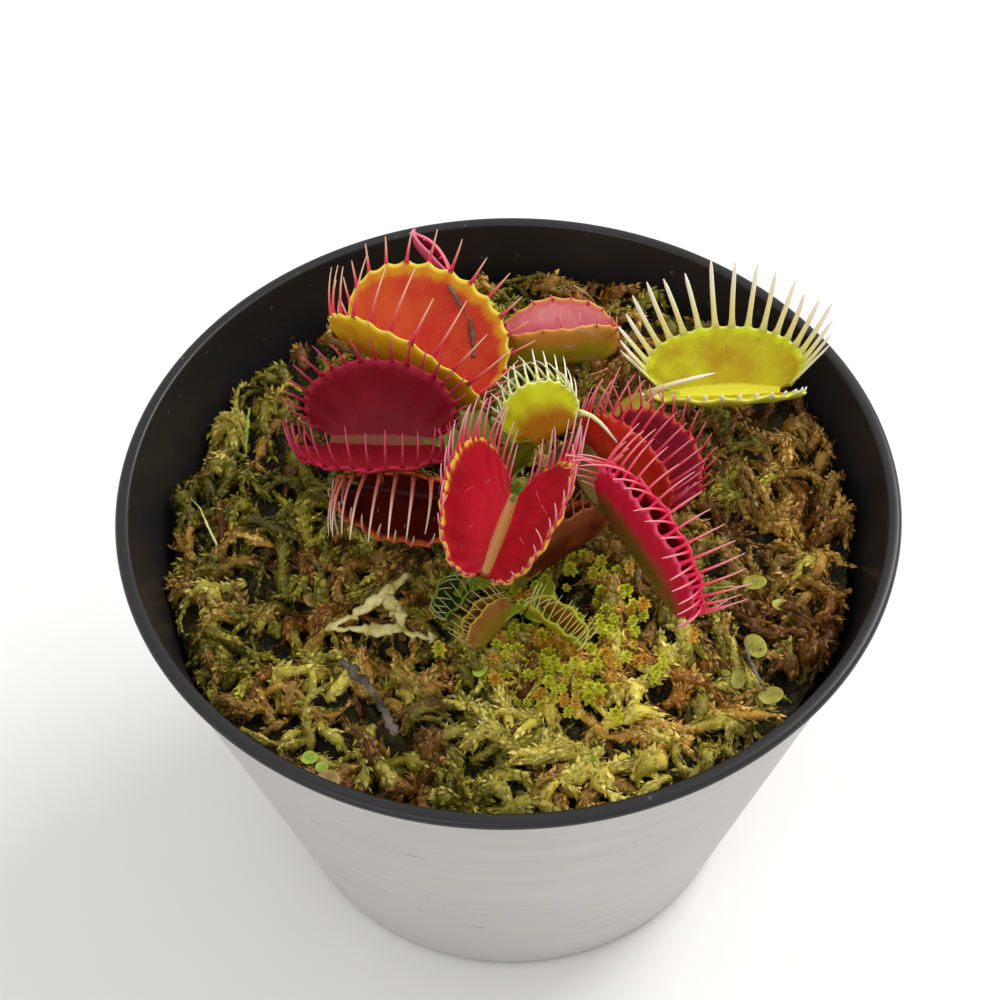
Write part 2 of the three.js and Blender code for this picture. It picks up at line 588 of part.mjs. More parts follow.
function mossGeometry() {
  const random = seededRandom(MOSS_SEED);
  let solid = mossBed();
  for (let i = 0; i < MOSS_STRANDS; i += 1) solid = solid.add(mossStrand(random));
  for (let i = 0; i < STAR_TUFTS; i += 1) solid = solid.add(starTuft(random));
  const body = new THREE.CylinderGeometry(
    wallRadius(POT_HEIGHT) - POT_WALL - CLEARANCE,
    wallRadius(0) - POT_WALL - CLEARANCE,
    POT_HEIGHT,
    MOSS_SIDES,
  );
  body.rotateX(Math.PI / 2);
  body.translate(0, 0, POT_HEIGHT / 2);
  solid = solid.intersect(toSolid(body));
  for (const crown of [CROWN, OFFSHOOT]) solid = solid.subtract(toSolid(crownGeometry(crown, CLEARANCE)));
  for (const leaf of LEAVES) solid = solid.subtract(toSolid(stalkGeometry(leaf, CLEARANCE)));
  const largestFirst = solid.decompose().sort((a, b) => b.volume() - a.volume());
  return toGeometry(largestFirst[0]);
}

// ---------- the whole plant ----------

const FINISHES = {
  pot: { color: 0x3a373b, roughness: 0.42, metalness: 0 },
  moss: { color: 0x6b6330, roughness: 0.95, metalness: 0 },
  crown: { color: 0xb9b98a, roughness: 0.6, metalness: 0 },
  leaf: { color: 0xa3202c, roughness: 0.45, metalness: 0 },
};

function piece(name, geometry, finish) {
  geometry.computeVertexNormals();
  const mesh = new THREE.Mesh(geometry, new THREE.MeshStandardMaterial(finish));
  mesh.name = name;
  return mesh;
}

const plant = new THREE.Group();
plant.add(piece('nursery_pot', potGeometry(), FINISHES.pot));
plant.add(piece('sphagnum_fill', mossGeometry(), FINISHES.moss));
plant.add(piece('main_crown', crownGeometry(CROWN, 0), FINISHES.crown));
plant.add(piece('offshoot_crown', crownGeometry(OFFSHOOT, 0), FINISHES.crown));
LEAVES.forEach((leaf, order) => plant.add(piece(leaf.name, leafGeometry(leaf, order), FINISHES.leaf)));

export default plant;
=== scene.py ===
import math

import bmesh
import bpy
import numpy as np
from mathutils import Matrix, Vector


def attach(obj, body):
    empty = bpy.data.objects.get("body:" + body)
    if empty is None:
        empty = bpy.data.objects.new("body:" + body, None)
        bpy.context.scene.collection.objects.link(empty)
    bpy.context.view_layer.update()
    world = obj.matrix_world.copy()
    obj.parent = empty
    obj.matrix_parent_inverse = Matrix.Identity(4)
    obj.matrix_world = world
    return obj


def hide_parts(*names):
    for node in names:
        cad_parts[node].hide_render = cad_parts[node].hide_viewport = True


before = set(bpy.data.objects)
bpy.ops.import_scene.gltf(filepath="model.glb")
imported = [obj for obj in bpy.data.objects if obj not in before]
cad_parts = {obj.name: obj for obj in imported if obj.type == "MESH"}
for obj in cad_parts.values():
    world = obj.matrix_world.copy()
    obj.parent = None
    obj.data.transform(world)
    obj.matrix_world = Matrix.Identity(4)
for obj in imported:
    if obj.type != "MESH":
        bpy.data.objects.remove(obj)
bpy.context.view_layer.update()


# ---------------------------------------------------------------- nursery pot
# A thin tapered cup drawn from one warm sheet of black polypropylene, with a small rolled lip,
# a foot ring and drain holes. The outside is painted a pale grey that stands for its reflection of the
# bright room, broken by scuffs and nicks, and the inside stays black.

MM = 0.001
POT_HEIGHT = 62.0
POT_RIM_RADIUS = 45.0
POT_FOOT_RADIUS = 30.0
POT_WALL = 0.9
LIP_HEIGHT = 1.2
LIP_PROUD = 0.7
FOOT_WIDTH = 2.4
FOOT_LIFT = 2.4
FLOOR_THICKNESS = 1.1
DRAIN_HOLES = 6
DRAIN_RADIUS = 3.0
DRAIN_CIRCLE = 17.0
POT_SIDES = 240


def placed(name, data):
    """A new object in the scene, made of a mesh, a light or a camera."""
    made = bpy.data.objects.new(name, data)
    bpy.context.scene.collection.objects.link(made)
    return made


def mesh_object(name, points, faces, layers=None):
    """A smooth mesh object from points in millimetres, with one value per point for each layer."""
    mesh = bpy.data.meshes.new(name)
    mesh.from_pydata((np.asarray(points) * MM).tolist(), [], [tuple(map(int, face)) for face in faces])
    for layer, values in (layers or {}).items():
        data = mesh.attributes.new(layer, "FLOAT", "POINT").data
        data.foreach_set("value", np.asarray(values, np.float32))
    mesh.shade_smooth()
    return placed(name, mesh)


def finish_piece(made, material, slot, *nodes):
    """Gives a piece its material, puts it on the root body, and hides the imported parts it stands for."""
    made.data.materials.append(material)
    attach(made, "root")
    if nodes:
        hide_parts(*nodes)
    return made


class Nodes:
    """A short way to write a shader: each call adds one node, sets its inputs and returns it."""

    def __init__(self, tree):
        self.tree = tree

    def add(self, kind, inputs=None, **settings):
        node = self.tree.nodes.new("ShaderNode" + kind)
        for key, value in settings.items():
            setattr(node, key, value)
        for key, value in (inputs or {}).items():
            if isinstance(value, bpy.types.NodeSocket):
                self.tree.links.new(value, node.inputs[key])
            else:
                node.inputs[key].default_value = value
        return node

    def maths(self, operation, *values, clamp=False):
        inputs = dict(enumerate(values))
        return self.add("Math", inputs, operation=operation, use_clamp=clamp).outputs[0]

    def total(self, plus, *terms, clamp=False):
        """plus, and each value times its weight, added up."""
        for value, weight in terms:
            plus = self.maths("MULTIPLY_ADD", value, weight, plus)
        plus.node.use_clamp = clamp
        return plus

    def roughen(self, value, *noises):
        """The value, pushed up and down by each noise times its weight. A noise lies about 0.5."""
        middle = sum(weight for _, weight in noises) / 2
        return self.total(self.maths("SUBTRACT", value, middle), *noises)

    def mix(self, share, first, second, blend="MIX"):
        node = self.add("Mix", {0: share, 6: first, 7: second}, data_type="RGBA", blend_type=blend)
        return node.outputs[2]

    def step(self, value, low, high, most=1.0):
        """0 below low, most above high, and a smooth rise between."""
        inputs = {"Value": value, "From Min": low, "From Max": high, "To Max": most}
        return self.add("MapRange", inputs, interpolation_type="SMOOTHSTEP").outputs[0]

    def noise(self, scale, detail=3.0, roughness=0.55, vector=None):
        inputs = {"Scale": scale, "Detail": detail, "Roughness": roughness}
        inputs["Vector"] = vector or self.place()
        return self.add("TexNoise", inputs).outputs[0]

    def place(self):
        return self.add("TexCoord").outputs["Object"]

    def stretched(self, x, y, z):
        return self.add("Mapping", {"Vector": self.place(), "Scale": (x, y, z)}).outputs[0]

    def attribute(self, name):
        return self.add("Attribute", attribute_name=name).outputs["Fac"]


def new_material(name):
    material = bpy.data.materials.new(name)
    material.use_nodes = True
    material.node_tree.nodes.clear()
    return material, Nodes(material.node_tree)


def surface(nodes, colour, roughness, height, bump=0.4, reach=0.0004, **constants):
    """The Principled shader of a material. height feeds one bump node, and constants stay on its sockets."""
    normal = nodes.add("Bump", {"Height": height, "Strength": bump, "Distance": reach}).outputs[0]
    inputs = {"Base Color": colour, "Roughness": roughness, "Normal": normal}
    inputs.update({key.replace("_", " "): value for key, value in constants.items()})
    shader = nodes.add("BsdfPrincipled", inputs)
    nodes.add("OutputMaterial", {"Surface": shader.outputs[0]})


def band_faces(rings, sides):
    """Four-cornered faces between each ring of points and the next."""
    faces = []
    for start in range(0, (rings - 1) * sides, sides):
        for i in range(sides):
            a, b = start + i, start + (i + 1) % sides
            faces.append((a, b, b + sides, a + sides))
    return faces


def fan_faces(rings, sides, low, high):
    """Triangles that close the first ring at the point low, and the last ring at the point high."""
    last = (rings - 1) * sides
    faces = [(low, (i + 1) % sides, i) for i in range(sides)]
    return faces + [(high, last + i, last + (i + 1) % sides) for i in range(sides)]


def cap_faces(rings, sides):
    """One face over the first ring, and one over the last."""
    last = (rings - 1) * sides
    return [tuple(range(sides))[::-1], tuple(range(last, last + sides))]


def turned_over(face):
    return face[:1] + face[:0:-1]


def pot_wall_radius(z):
    body_top = POT_RIM_RADIUS - LIP_PROUD
    return POT_FOOT_RADIUS + (body_top - POT_FOOT_RADIUS) * z / (POT_HEIGHT - LIP_HEIGHT)


def pot_profile():
    """Radius and height from the middle of the underside, out, up the wall, over the lip and back down."""
    lip_low = POT_HEIGHT - LIP_HEIGHT
    floor_top = FOOT_LIFT + FLOOR_THICKNESS
    foot_inside = POT_FOOT_RADIUS - FOOT_WIDTH
    profile = [(0.0, FOOT_LIFT), (foot_inside, FOOT_LIFT)]
    profile += [(foot_inside + 0.15, 0.3), (foot_inside + 0.5, 0.0)]
    foot_round = 1.1
    for k in range(6):
        turn = math.radians(18 * k)
        out = POT_FOOT_RADIUS - foot_round * (1 - math.sin(turn))
        profile.append((out, foot_round * (1 - math.cos(turn))))
    profile += [(pot_wall_radius(z), z) for z in np.linspace(2.0, lip_low - 0.3, 40)]
    half_lip = LIP_HEIGHT / 2
    lip_middle = POT_HEIGHT - LIP_HEIGHT / 2
    for k in range(9):
        turn = math.radians(-70 + 20 * k)
        out = POT_RIM_RADIUS - half_lip + half_lip * math.cos(turn)
        profile.append((out, lip_middle + half_lip * math.sin(turn)))
    inner_rim = pot_wall_radius(lip_low) - POT_WALL
    profile += [(inner_rim + 0.35, POT_HEIGHT), (inner_rim + 0.1, POT_HEIGHT - 0.1)]
    profile.append((inner_rim, POT_HEIGHT - 0.35))
    profile += [(pot_wall_radius(z) - POT_WALL, z) for z in np.linspace(lip_low - 0.5, floor_top + 0.6, 24)]
    profile += [(pot_wall_radius(floor_top) - POT_WALL - 0.6, floor_top), (0.0, floor_top)]
    return profile


def turned_body(name, profile, sides):
    """A round body from a profile that starts and ends on the axis."""
    turns = [2 * math.pi * i / sides for i in range(sides)]
    points = [(out * math.cos(turn), out * math.sin(turn), z) for out, z in profile[1:-1] for turn in turns]
    rings = len(profile) - 2
    points += [(0.0, 0.0, profile[0][1]), (0.0, 0.0, profile[-1][1])]
    faces = band_faces(rings, sides) + fan_faces(rings, sides, rings * sides, rings * sides + 1)
    return mesh_object(name, points, faces)


def cut_drain_holes(pot):
    """Cuts the round drain holes out of the floor, and drops the cutters again."""
    cutter_mesh = bpy.data.meshes.new("drain_cutter")
    shape = bmesh.new()
    for k in range(DRAIN_HOLES):
        turn = 2 * math.pi * k / DRAIN_HOLES
        made = bmesh.ops.create_cone(shape, cap_ends=True, segments=40, radius1=DRAIN_RADIUS * MM,
                                     radius2=DRAIN_RADIUS * MM, depth=4 * FLOOR_THICKNESS * MM)
        centre = Vector((DRAIN_CIRCLE * math.cos(turn), DRAIN_CIRCLE * math.sin(turn), FOOT_LIFT))
        bmesh.ops.translate(shape, verts=made["verts"], vec=centre * MM)
    shape.to_mesh(cutter_mesh)
    shape.free()
    cutter = placed("drain_cutter", cutter_mesh)
    cut = pot.modifiers.new("drain", "BOOLEAN")
    cut.operation = "DIFFERENCE"
    cut.solver = "EXACT"
    cut.object = cutter
    bpy.context.view_layer.update()
    result = bpy.data.meshes.new_from_object(pot.evaluated_get(bpy.context.evaluated_depsgraph_get()))
    pot.modifiers.clear()
    pot.data = result
    bpy.data.objects.remove(cutter)
    bpy.data.meshes.remove(cutter_mesh)


def pot_plastic():
    """Black polypropylene. The outside carries a painted reflection of the bright room: a pale grey in bands
    round the wall, broken by scuffs and nicks.
    """
    material, nodes = new_material("black_polypropylene_painted_reflection")
    black, sheen = (0.013, 0.0115, 0.011, 1), (0.03, 0.03, 0.034, 1)
    painted_reflection, speck = (0.53, 0.515, 0.505, 1), (0.3, 0.29, 0.27, 1)
    x, y, z = nodes.add("SeparateXYZ", {"Vector": nodes.place()}).outputs
    radius = nodes.maths("POWER", nodes.total(0.0, (x, x), (y, y)), 0.5)
    slope = (POT_RIM_RADIUS - LIP_PROUD - POT_FOOT_RADIUS) / (POT_HEIGHT - LIP_HEIGHT)
    wall = nodes.total(POT_FOOT_RADIUS * MM, (z, slope))
    outside = nodes.step(nodes.maths("SUBTRACT", radius, wall), -0.45 * MM, -0.2 * MM)
    below_lip = nodes.step(z, (POT_HEIGHT - LIP_HEIGHT - 0.1) * MM, (POT_HEIGHT - LIP_HEIGHT - 1.0) * MM)
    outside = nodes.maths("MULTIPLY", outside, below_lip)
    bands = nodes.noise(90.0, 4.0, 0.6, nodes.stretched(0.35, 0.35, 6.0))
    cloud = nodes.noise(42.0, 3.0, 0.5)
    drawn = nodes.noise(260.0, 2.0, 0.5, nodes.stretched(0.12, 0.12, 5.0))
    nick = nodes.step(nodes.noise(330.0, 3.0, 0.6, nodes.stretched(0.5, 0.5, 1.5)), 0.68, 0.74)
    scuff = nodes.step(nodes.noise(60.0, 4.0, 0.65, nodes.stretched(0.5, 0.5, 4.5)), 0.56, 0.76)
    # Painted reflection: the outer wall takes a pale grey for the bright room it reflects, in bands, and less
    # of it where scuffs and nicks break it.
    reflection_bands = nodes.total(0.6, (bands, 0.2), (cloud, 0.25), (drawn, 0.10))
    reflection_and_wear = nodes.total(reflection_bands, (scuff, -0.22), (nick, -0.3), clamp=True)
    dust = nodes.step(nodes.noise(900.0, 1.0), 0.74, 0.78, 0.2)
    inside = nodes.mix(nodes.maths("MULTIPLY", cloud, 0.5), black, sheen)
    inside = nodes.mix(dust, inside, speck)
    colour = nodes.mix(nodes.maths("MULTIPLY", outside, reflection_and_wear), inside, painted_reflection)
    roughness = nodes.total(0.27, (cloud, 0.14), (outside, 0.06))
    height = nodes.total(0.0, (drawn, 0.5), (cloud, 0.6), (nick, -0.6))
    surface(nodes, colour, roughness, height, bump=0.12, reach=0.0003, Specular_IOR_Level=0.35)
    return material


pot = turned_body("pot_body", pot_profile(), POT_SIDES)
cut_drain_holes(pot)
pot.data.shade_smooth()
finish_piece(pot, pot_plastic(), "pot", "nursery_pot")


# ---------------------------------------------------------------- growing medium
# Old sphagnum packed to within a centimetre of the lip. Below the strands it is a dark, wet, lumpy
# mass that fills the cup down to its floor.

MOSS_LEVEL = 52.0
MOSS_EDGE_DROP = 1.0
MOSS_EDGE_RISE = 3.4
MOSS_BANK_SIDE = 0.35
MOSS_HOLLOW_DEPTH = 3.2
MOSS_HOLLOW_RADIUS = 12.0
MOSS_WAVES = [(31, 0.9), (17, 0.9), (9.5, 0.65), (6.2, 0.4)]  # length and height of the lumps
POT_GAP = 0.35


def moss_height(x, y):
    """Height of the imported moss, in millimetres. x and y are arrays."""
    edge = np.hypot(x, y) / (pot_wall_radius(MOSS_LEVEL) - POT_WALL)
    round_pot = np.arctan2(y, x)
    bank = MOSS_EDGE_RISE * (1 + np.cos(round_pot - MOSS_BANK_SIDE)) / 2
    height = MOSS_LEVEL + 0.035 * y - 0.3 * np.cos(2 * round_pot) * edge ** 2 + bank * edge ** 4
    for k, (length, lift) in enumerate(MOSS_WAVES):
        angle = 2.4 * (k + 1)
        turns = 2 * math.pi / length
        along = x * math.cos(angle) + y * math.sin(angle)
        aside = y * math.cos(angle) - x * math.sin(angle)
        height = height + lift * np.sin(turns * along + 1.7 * k) * np.cos(turns * 0.8 * aside + 0.9 * k)
    hollow = np.exp(-((x - 1) ** 2 + (y - 2) ** 2) / MOSS_HOLLOW_RADIUS ** 2)
    return height - MOSS_EDGE_DROP * edge ** 10 - MOSS_HOLLOW_DEPTH * hollow


def medium_body():
    """The fill under the strands: a rough top, a side that follows the wall and a flat bottom."""
    rings, sides = 110, 256
    sink = 1.5
    floor = FOOT_LIFT + FLOOR_THICKNESS + POT_GAP
    share = np.linspace(0, 1, rings + 1)[1:, None]
    turn = np.linspace(0, 2 * math.pi, sides, endpoint=False)[None, :]
    reach = pot_wall_radius(MOSS_LEVEL - 4) - POT_WALL - POT_GAP
    x = share * reach * np.cos(turn)
    y = share * reach * np.sin(turn)
    rough = 0.6 * np.sin(2.1 * x + 0.7 * y) * np.sin(1.7 * y - 0.6 * x)
    rough = rough + 0.4 * np.sin(4.3 * x - 1.1 + np.sin(y)) * np.sin(3.9 * y + 2 * np.sin(0.9 * x))
    rough = rough + 0.25 * np.sin(7.1 * x + 2.2 * y) * np.sin(6.3 * y - 3.1 * x)
    z = moss_height(x, y) - sink + rough
    points = np.stack([x, y, z], -1).reshape(-1, 3)
    low_reach = pot_wall_radius(floor) - POT_WALL - POT_GAP
    foot = np.stack([low_reach * np.cos(turn[0]), low_reach * np.sin(turn[0]), np.full(sides, floor)], -1)
    centre = [(0.0, 0.0, float(moss_height(np.zeros(1), np.zeros(1))[0]) - sink), (0.0, 0.0, floor)]
    points = np.vstack([points, foot, centre])
    top = (rings + 1) * sides
    faces = band_faces(rings + 1, sides) + fan_faces(rings + 1, sides, top, top + 1)
    return mesh_object("packed_sphagnum", points, [turned_over(face) for face in faces])


def wet_peat():
    """Dark, wet decayed moss, almost black in patches, with an olive film of algae on top."""
    material, nodes = new_material("wet_peat")
    grain = nodes.noise(900.0, 5.0, 0.65)
    patch = nodes.noise(140.0, 4.0, 0.6)
    fibre = nodes.noise(1500.0, 3.0, 0.6, nodes.stretched(1.0, 0.4, 1.0))
    tone = nodes.mix(nodes.step(patch, 0.4, 0.65), (0.016, 0.014, 0.010, 1), (0.07, 0.062, 0.022, 1))
    tone = nodes.mix(nodes.step(grain, 0.52, 0.7), tone, (0.11, 0.085, 0.03, 1))
    tone = nodes.mix(nodes.step(fibre, 0.56, 0.7, 0.6), tone, (0.11, 0.11, 0.03, 1))
    height = nodes.total(0.0, (grain, 0.7), (fibre, 0.5))
    roughness = nodes.total(0.38, (grain, 0.5))
    surface(nodes, tone, roughness, height, bump=1.0, reach=0.0012, Specular_IOR_Level=0.2)
    return material


finish_piece(medium_body(), wet_peat(), "moss", "sphagnum_fill")


# ---------------------------------------------------------------- sphagnum strands
# Limp strands of dried and re-wetted sphagnum, thrown on the fill in clumps. Each is a soft tapering
# stem with a few branches, matted all over with small boat-shaped leaves that the water holds flat.

def unit(vectors):
    return vectors / np.maximum(np.linalg.norm(vectors, axis=-1, keepdims=True), 1e-9)


class Growth:
    """Points, faces and layer values of many small parts that are written as one mesh."""

    def __init__(self, *layers):
        self.points = []
        self.faces = []
        self.layers = {layer: [] for layer in layers}
        self.count = 0

    def put(self, points, faces, **values):
        points = np.asarray(points, float).reshape(-1, 3)
        self.points.append(points)
        self.faces += [tuple(i + self.count for i in face) for face in faces]
        for layer, store in self.layers.items():
            store.append(np.broadcast_to(np.asarray(values[layer], float), (len(points),)))
        self.count += len(points)

    def write(self, name):
        layers = {layer: np.concatenate(store) for layer, store in self.layers.items()}
        return mesh_object(name, np.vstack(self.points), self.faces, layers)


SCALE_FACES = np.array([(0, 1, 3), (0, 3, 2), (1, 4, 3), (3, 4, 2)])
STRAND_STEP = 0.62  # length of one section of a strand
LEAF_SPREAD = 0.36  # how far the leaves stand off their strand, in radians
CLUMPS = 128
CLUMP_SPACING = 4.4
LOOSE_STRANDS = 150
MOSS_SEED = 11


def scale_leaves(growth, feet, ahead, aside, up, length, width, tint):
    """Boat-shaped leaves, one cell thick: each has a foot, two edges, a raised back and a tip."""
    long, wide = length[:, None], width[:, None]
    middle = feet + ahead * long * 0.4
    corners = np.stack([feet, middle + aside * wide / 2, middle - aside * wide / 2, middle + up * wide * 0.3,
                        feet + ahead * long + up * long * 0.03], 1)
    count = len(feet)
    faces = (SCALE_FACES[None] + 5 * np.arange(count)[:, None, None]).reshape(-1, 3).tolist()
    growth.put(corners, faces, tint=tint, tip=np.tile([0.0, 0.5, 0.5, 0.75, 1.0], count))


def limp_path(random, start, heading, span, rise, sag, count=9):
    """A limp curve over the fill: it starts at a point, rises a little, and droops to its end."""
    share = np.linspace(0, 1, count)
    bend = random.uniform(-1.5, 1.5)
    turn = heading + bend * share + 0.4 * np.sin(6 * share + random.uniform(0, 6))
    px = start[0] + np.concatenate([[0], np.cumsum(np.cos(turn[1:]))]) * span / (count - 1)
    py = start[1] + np.concatenate([[0], np.cumsum(np.sin(turn[1:]))]) * span / (count - 1)
    ground = moss_height(px, py)
    above = (start[2] - float(ground[0])) * (1 - share) + rise * np.sin(np.pi * share) - sag * share ** 2
    return np.stack([px, py, ground + above + 0.2 * np.sin(8 * share + random.uniform(0, 6))], -1)


def resample(path, step):
    lengths = np.concatenate([[0], np.cumsum(np.linalg.norm(np.diff(path, axis=0), axis=1))])
    marks = np.linspace(0, lengths[-1], max(4, int(lengths[-1] / step)))
    return np.stack([np.interp(marks, lengths, path[:, k]) for k in range(3)], -1)


def grow_strand(growth, random, path, girth, tint):
    """A lumpy tapering strand, matted all over with small wet leaves that lie along it."""
    spots = resample(path, STRAND_STEP)
    ahead = unit(np.gradient(spots, axis=0))
    aside = unit(np.cross(ahead, np.array([0.02, 0.01, 1.0])))
    up = np.cross(aside, ahead)
    count = len(spots)
    share = np.linspace(0, 1, count)
    taper = np.clip(np.minimum(0.55 + 2.5 * share, 1.25 * (1 - share) ** 0.6), 0.16, 1)
    lumps = 1 + 0.45 * np.sin(17 * share + random.uniform(0, 6)) * np.sin(5 * share + random.uniform(0, 6))
    radius = girth / 2 * taper * lumps
    sides = 6
    turns = 2 * np.pi * np.arange(sides) / sides
    ring = aside[:, None] * np.cos(turns)[None, :, None] + up[:, None] * (0.78 * np.sin(turns))[None, :, None]
    uneven = 1 + 0.14 * random.normal(0, 1, (count, sides, 1))
    core = spots[:, None] + ring * radius[:, None, None] * 0.86 * uneven
    growth.put(core, band_faces(count, sides) + cap_faces(count, sides), tint=tint, tip=0.42)

    around = np.maximum(4, np.round(2 * np.pi * radius / 0.6)).astype(int)
    row = np.repeat(np.arange(count), around)
    turn = random.uniform(0, 2 * np.pi, len(row))
    out = aside[row] * np.cos(turn)[:, None] + up[row] * np.sin(turn)[:, None]
    seen = out[:, 2] > -0.35
    row, out = row[seen], out[seen]
    opening = np.abs(random.normal(0.05, LEAF_SPREAD, len(row)))[:, None]
    drift = random.normal(0, 0.35, len(row))[:, None]
    across = np.cross(ahead[row], out)
    way = unit(ahead[row] * np.cos(opening) + out * np.sin(opening) + across * drift)
    back = unit(out - way * np.sum(out * way, -1, keepdims=True))
    feet = spots[row] + out * (radius[row] * random.uniform(0.6, 0.85, len(row)))[:, None]
    length = random.uniform(0.6, 1.35, len(row)) * (0.7 + 0.3 * girth / 2)
    shades = np.clip(np.repeat(tint + random.normal(0, 0.17, len(row)), 5), 0, 1)
    scale_leaves(growth, feet, way, np.cross(way, back), back, length, length * 0.46, shades)


def new_group(name, colours, numbers=()):
    """A node group from colours and numbers to a surface's colour, roughness and height, still empty."""
    group = bpy.data.node_groups.new(name, "ShaderNodeTree")
    sockets = [("INPUT", "NodeSocketColor", colours), ("INPUT", "NodeSocketFloat", numbers),
               ("OUTPUT", "NodeSocketColor", ("Colour",)),
               ("OUTPUT", "NodeSocketFloat", ("Roughness", "Height"))]
    for way, kind, names in sockets:
        for socket in names:
            group.interface.new_socket(socket, in_out=way, socket_type=kind)
    return group, Nodes(group), group.nodes.new("NodeGroupInput").outputs


def finish_group(group, colour, roughness, height):
    """Leads three values out of a node group, and returns it."""
    result = group.nodes.new("NodeGroupOutput")
    for name, value in (("Colour", colour), ("Roughness", roughness), ("Height", height)):
        group.links.new(value, result.inputs[name])
    return group


def group_surface(name, group, values, **constants):
    """A material whose colour, roughness and height come from a node group with the given inputs."""
    material, nodes = new_material(name)
    skin = nodes.tree.nodes.new("ShaderNodeGroup")
    skin.node_tree = group
    for socket, value in values.items():
        skin.inputs[socket].default_value = value
    surface(nodes, skin.outputs["Colour"], skin.outputs["Roughness"], skin.outputs["Height"], **constants)
    return material


def wet_moss_group():
    """Wet empty moss leaves: pale and see-through at the tips, brown or green where they are older."""
    group, nodes, given = new_group("wet_moss", ("Deep", "Body", "Tip", "Old"))
    tint, ends = nodes.attribute("tint"), nodes.attribute("tip")
    patch = nodes.noise(210.0, 3.0, 0.6)
    mottle = nodes.noise(620.0, 3.0, 0.6)
    cells = nodes.noise(3400.0, 2.0, 0.6)
    threads = nodes.noise(2600.0, 3.0, 0.6, nodes.stretched(1.0, 0.3, 1.0))
    # Painted shade: each leaf darkens to the Deep colour towards its foot, where it tucks under its
    # neighbours. Dark mottles take the same colour.
    tone = nodes.mix(nodes.step(ends, 0.0, 0.7), given["Deep"], given["Body"])
    tone = nodes.mix(nodes.step(ends, 0.4, 1.0, tint), tone, given["Tip"])
    tone = nodes.mix(nodes.step(nodes.total(patch, (mottle, 0.4)), 0.66, 0.86, 0.75), tone, given["Old"])
    tone = nodes.mix(nodes.step(mottle, 0.5, 0.34, 0.6), tone, given["Deep"])
    tone = nodes.mix(nodes.step(cells, 0.55, 0.75, 0.4), tone, given["Tip"])
    # Each strand's brightness comes from its tint, which carries the painted shade laid on some clumps and on
    # the loose strands.
    shade = nodes.total(0.32, (tint, 1.1))
    shade = nodes.add("CombineColor", {0: shade, 1: shade, 2: shade}).outputs[0]
    roughness = nodes.total(0.0, (cells, 0.5), (patch, 0.25))
    height = nodes.total(cells, (mottle, 0.8), (threads, 0.5))
    return finish_group(group, nodes.mix(1.0, tone, shade, "MULTIPLY"), roughness, height)


wet_moss = wet_moss_group()
MOSS_COLOURS = {
    "sphagnum_pale": {"Deep": "#a89830", "Body": "#e6d658", "Tip": "#f8f0a0", "Old": "#c4ac40"},
    "sphagnum_olive": {"Deep": "#5c5616", "Body": "#b4a836", "Tip": "#d2c454", "Old": "#6c6418"},
    "sphagnum_tan": {"Deep": "#86601c", "Body": "#d0a244", "Tip": "#eccb7c", "Old": "#a07428"},
    "sphagnum_brown": {"Deep": "#5a3410", "Body": "#aa7028", "Tip": "#d6a452", "Old": "#6c4014"},
}


def hue(code):
    """A linear colour from a web colour."""
    parts = [int(code[k:k + 2], 16) / 255 for k in (1, 3, 5)]
    return tuple(p / 12.92 if p <= 0.04045 else ((p + 0.055) / 1.055) ** 2.4 for p in parts) + (1.0,)


def wet_moss_tissue(name):
    values = {socket: hue(code) for socket, code in MOSS_COLOURS[name].items()}
    return group_surface(
        name + "_tissue", wet_moss, values, bump=0.7, reach=0.0002, Subsurface_Weight=0.2,
        Subsurface_Radius=(0.5, 0.4, 0.1), Subsurface_Scale=0.0012, Specular_IOR_Level=0.25,
        Coat_Weight=0.1, Coat_Roughness=0.08)


def patch_of(x, y, centre, size):
    """1 at the centre of a patch, and less the further from it."""
    return math.exp(-((x - centre[0]) ** 2 + (y - centre[1]) ** 2) / size ** 2)


def clump_kind(random, x, y):
    """Pale clumps in front, tan and brown ones to the right and along the back, olive ones to the left."""
    pale = 0.12 + 5.0 * patch_of(x, y, (14, -26), 8) + 0.6 * patch_of(x, y, (-8, -31), 9)
    right = 1 / (1 + math.exp(-(x - 18) / 5))
    back = 1 / (1 + math.exp(-(y - 20) / 5))
    tan = 0.35 + 0.7 * right + 0.5 * back + 0.6 * patch_of(x, y, (-30, 10), 9)
    brown = 0.16 + 0.7 * right + 0.1 * back
    olive = 0.35 + 0.4 / (1 + math.exp((x + 6) / 8))
    weights = np.array([pale, olive, tan, brown])
    return list(MOSS_COLOURS)[random.choice(4, p=weights / weights.sum())]


def keep_inside(path, reach):
    far = np.maximum(np.hypot(path[:, 0], path[:, 1]) / reach, 1.0)
    path[:, :2] /= far[:, None]


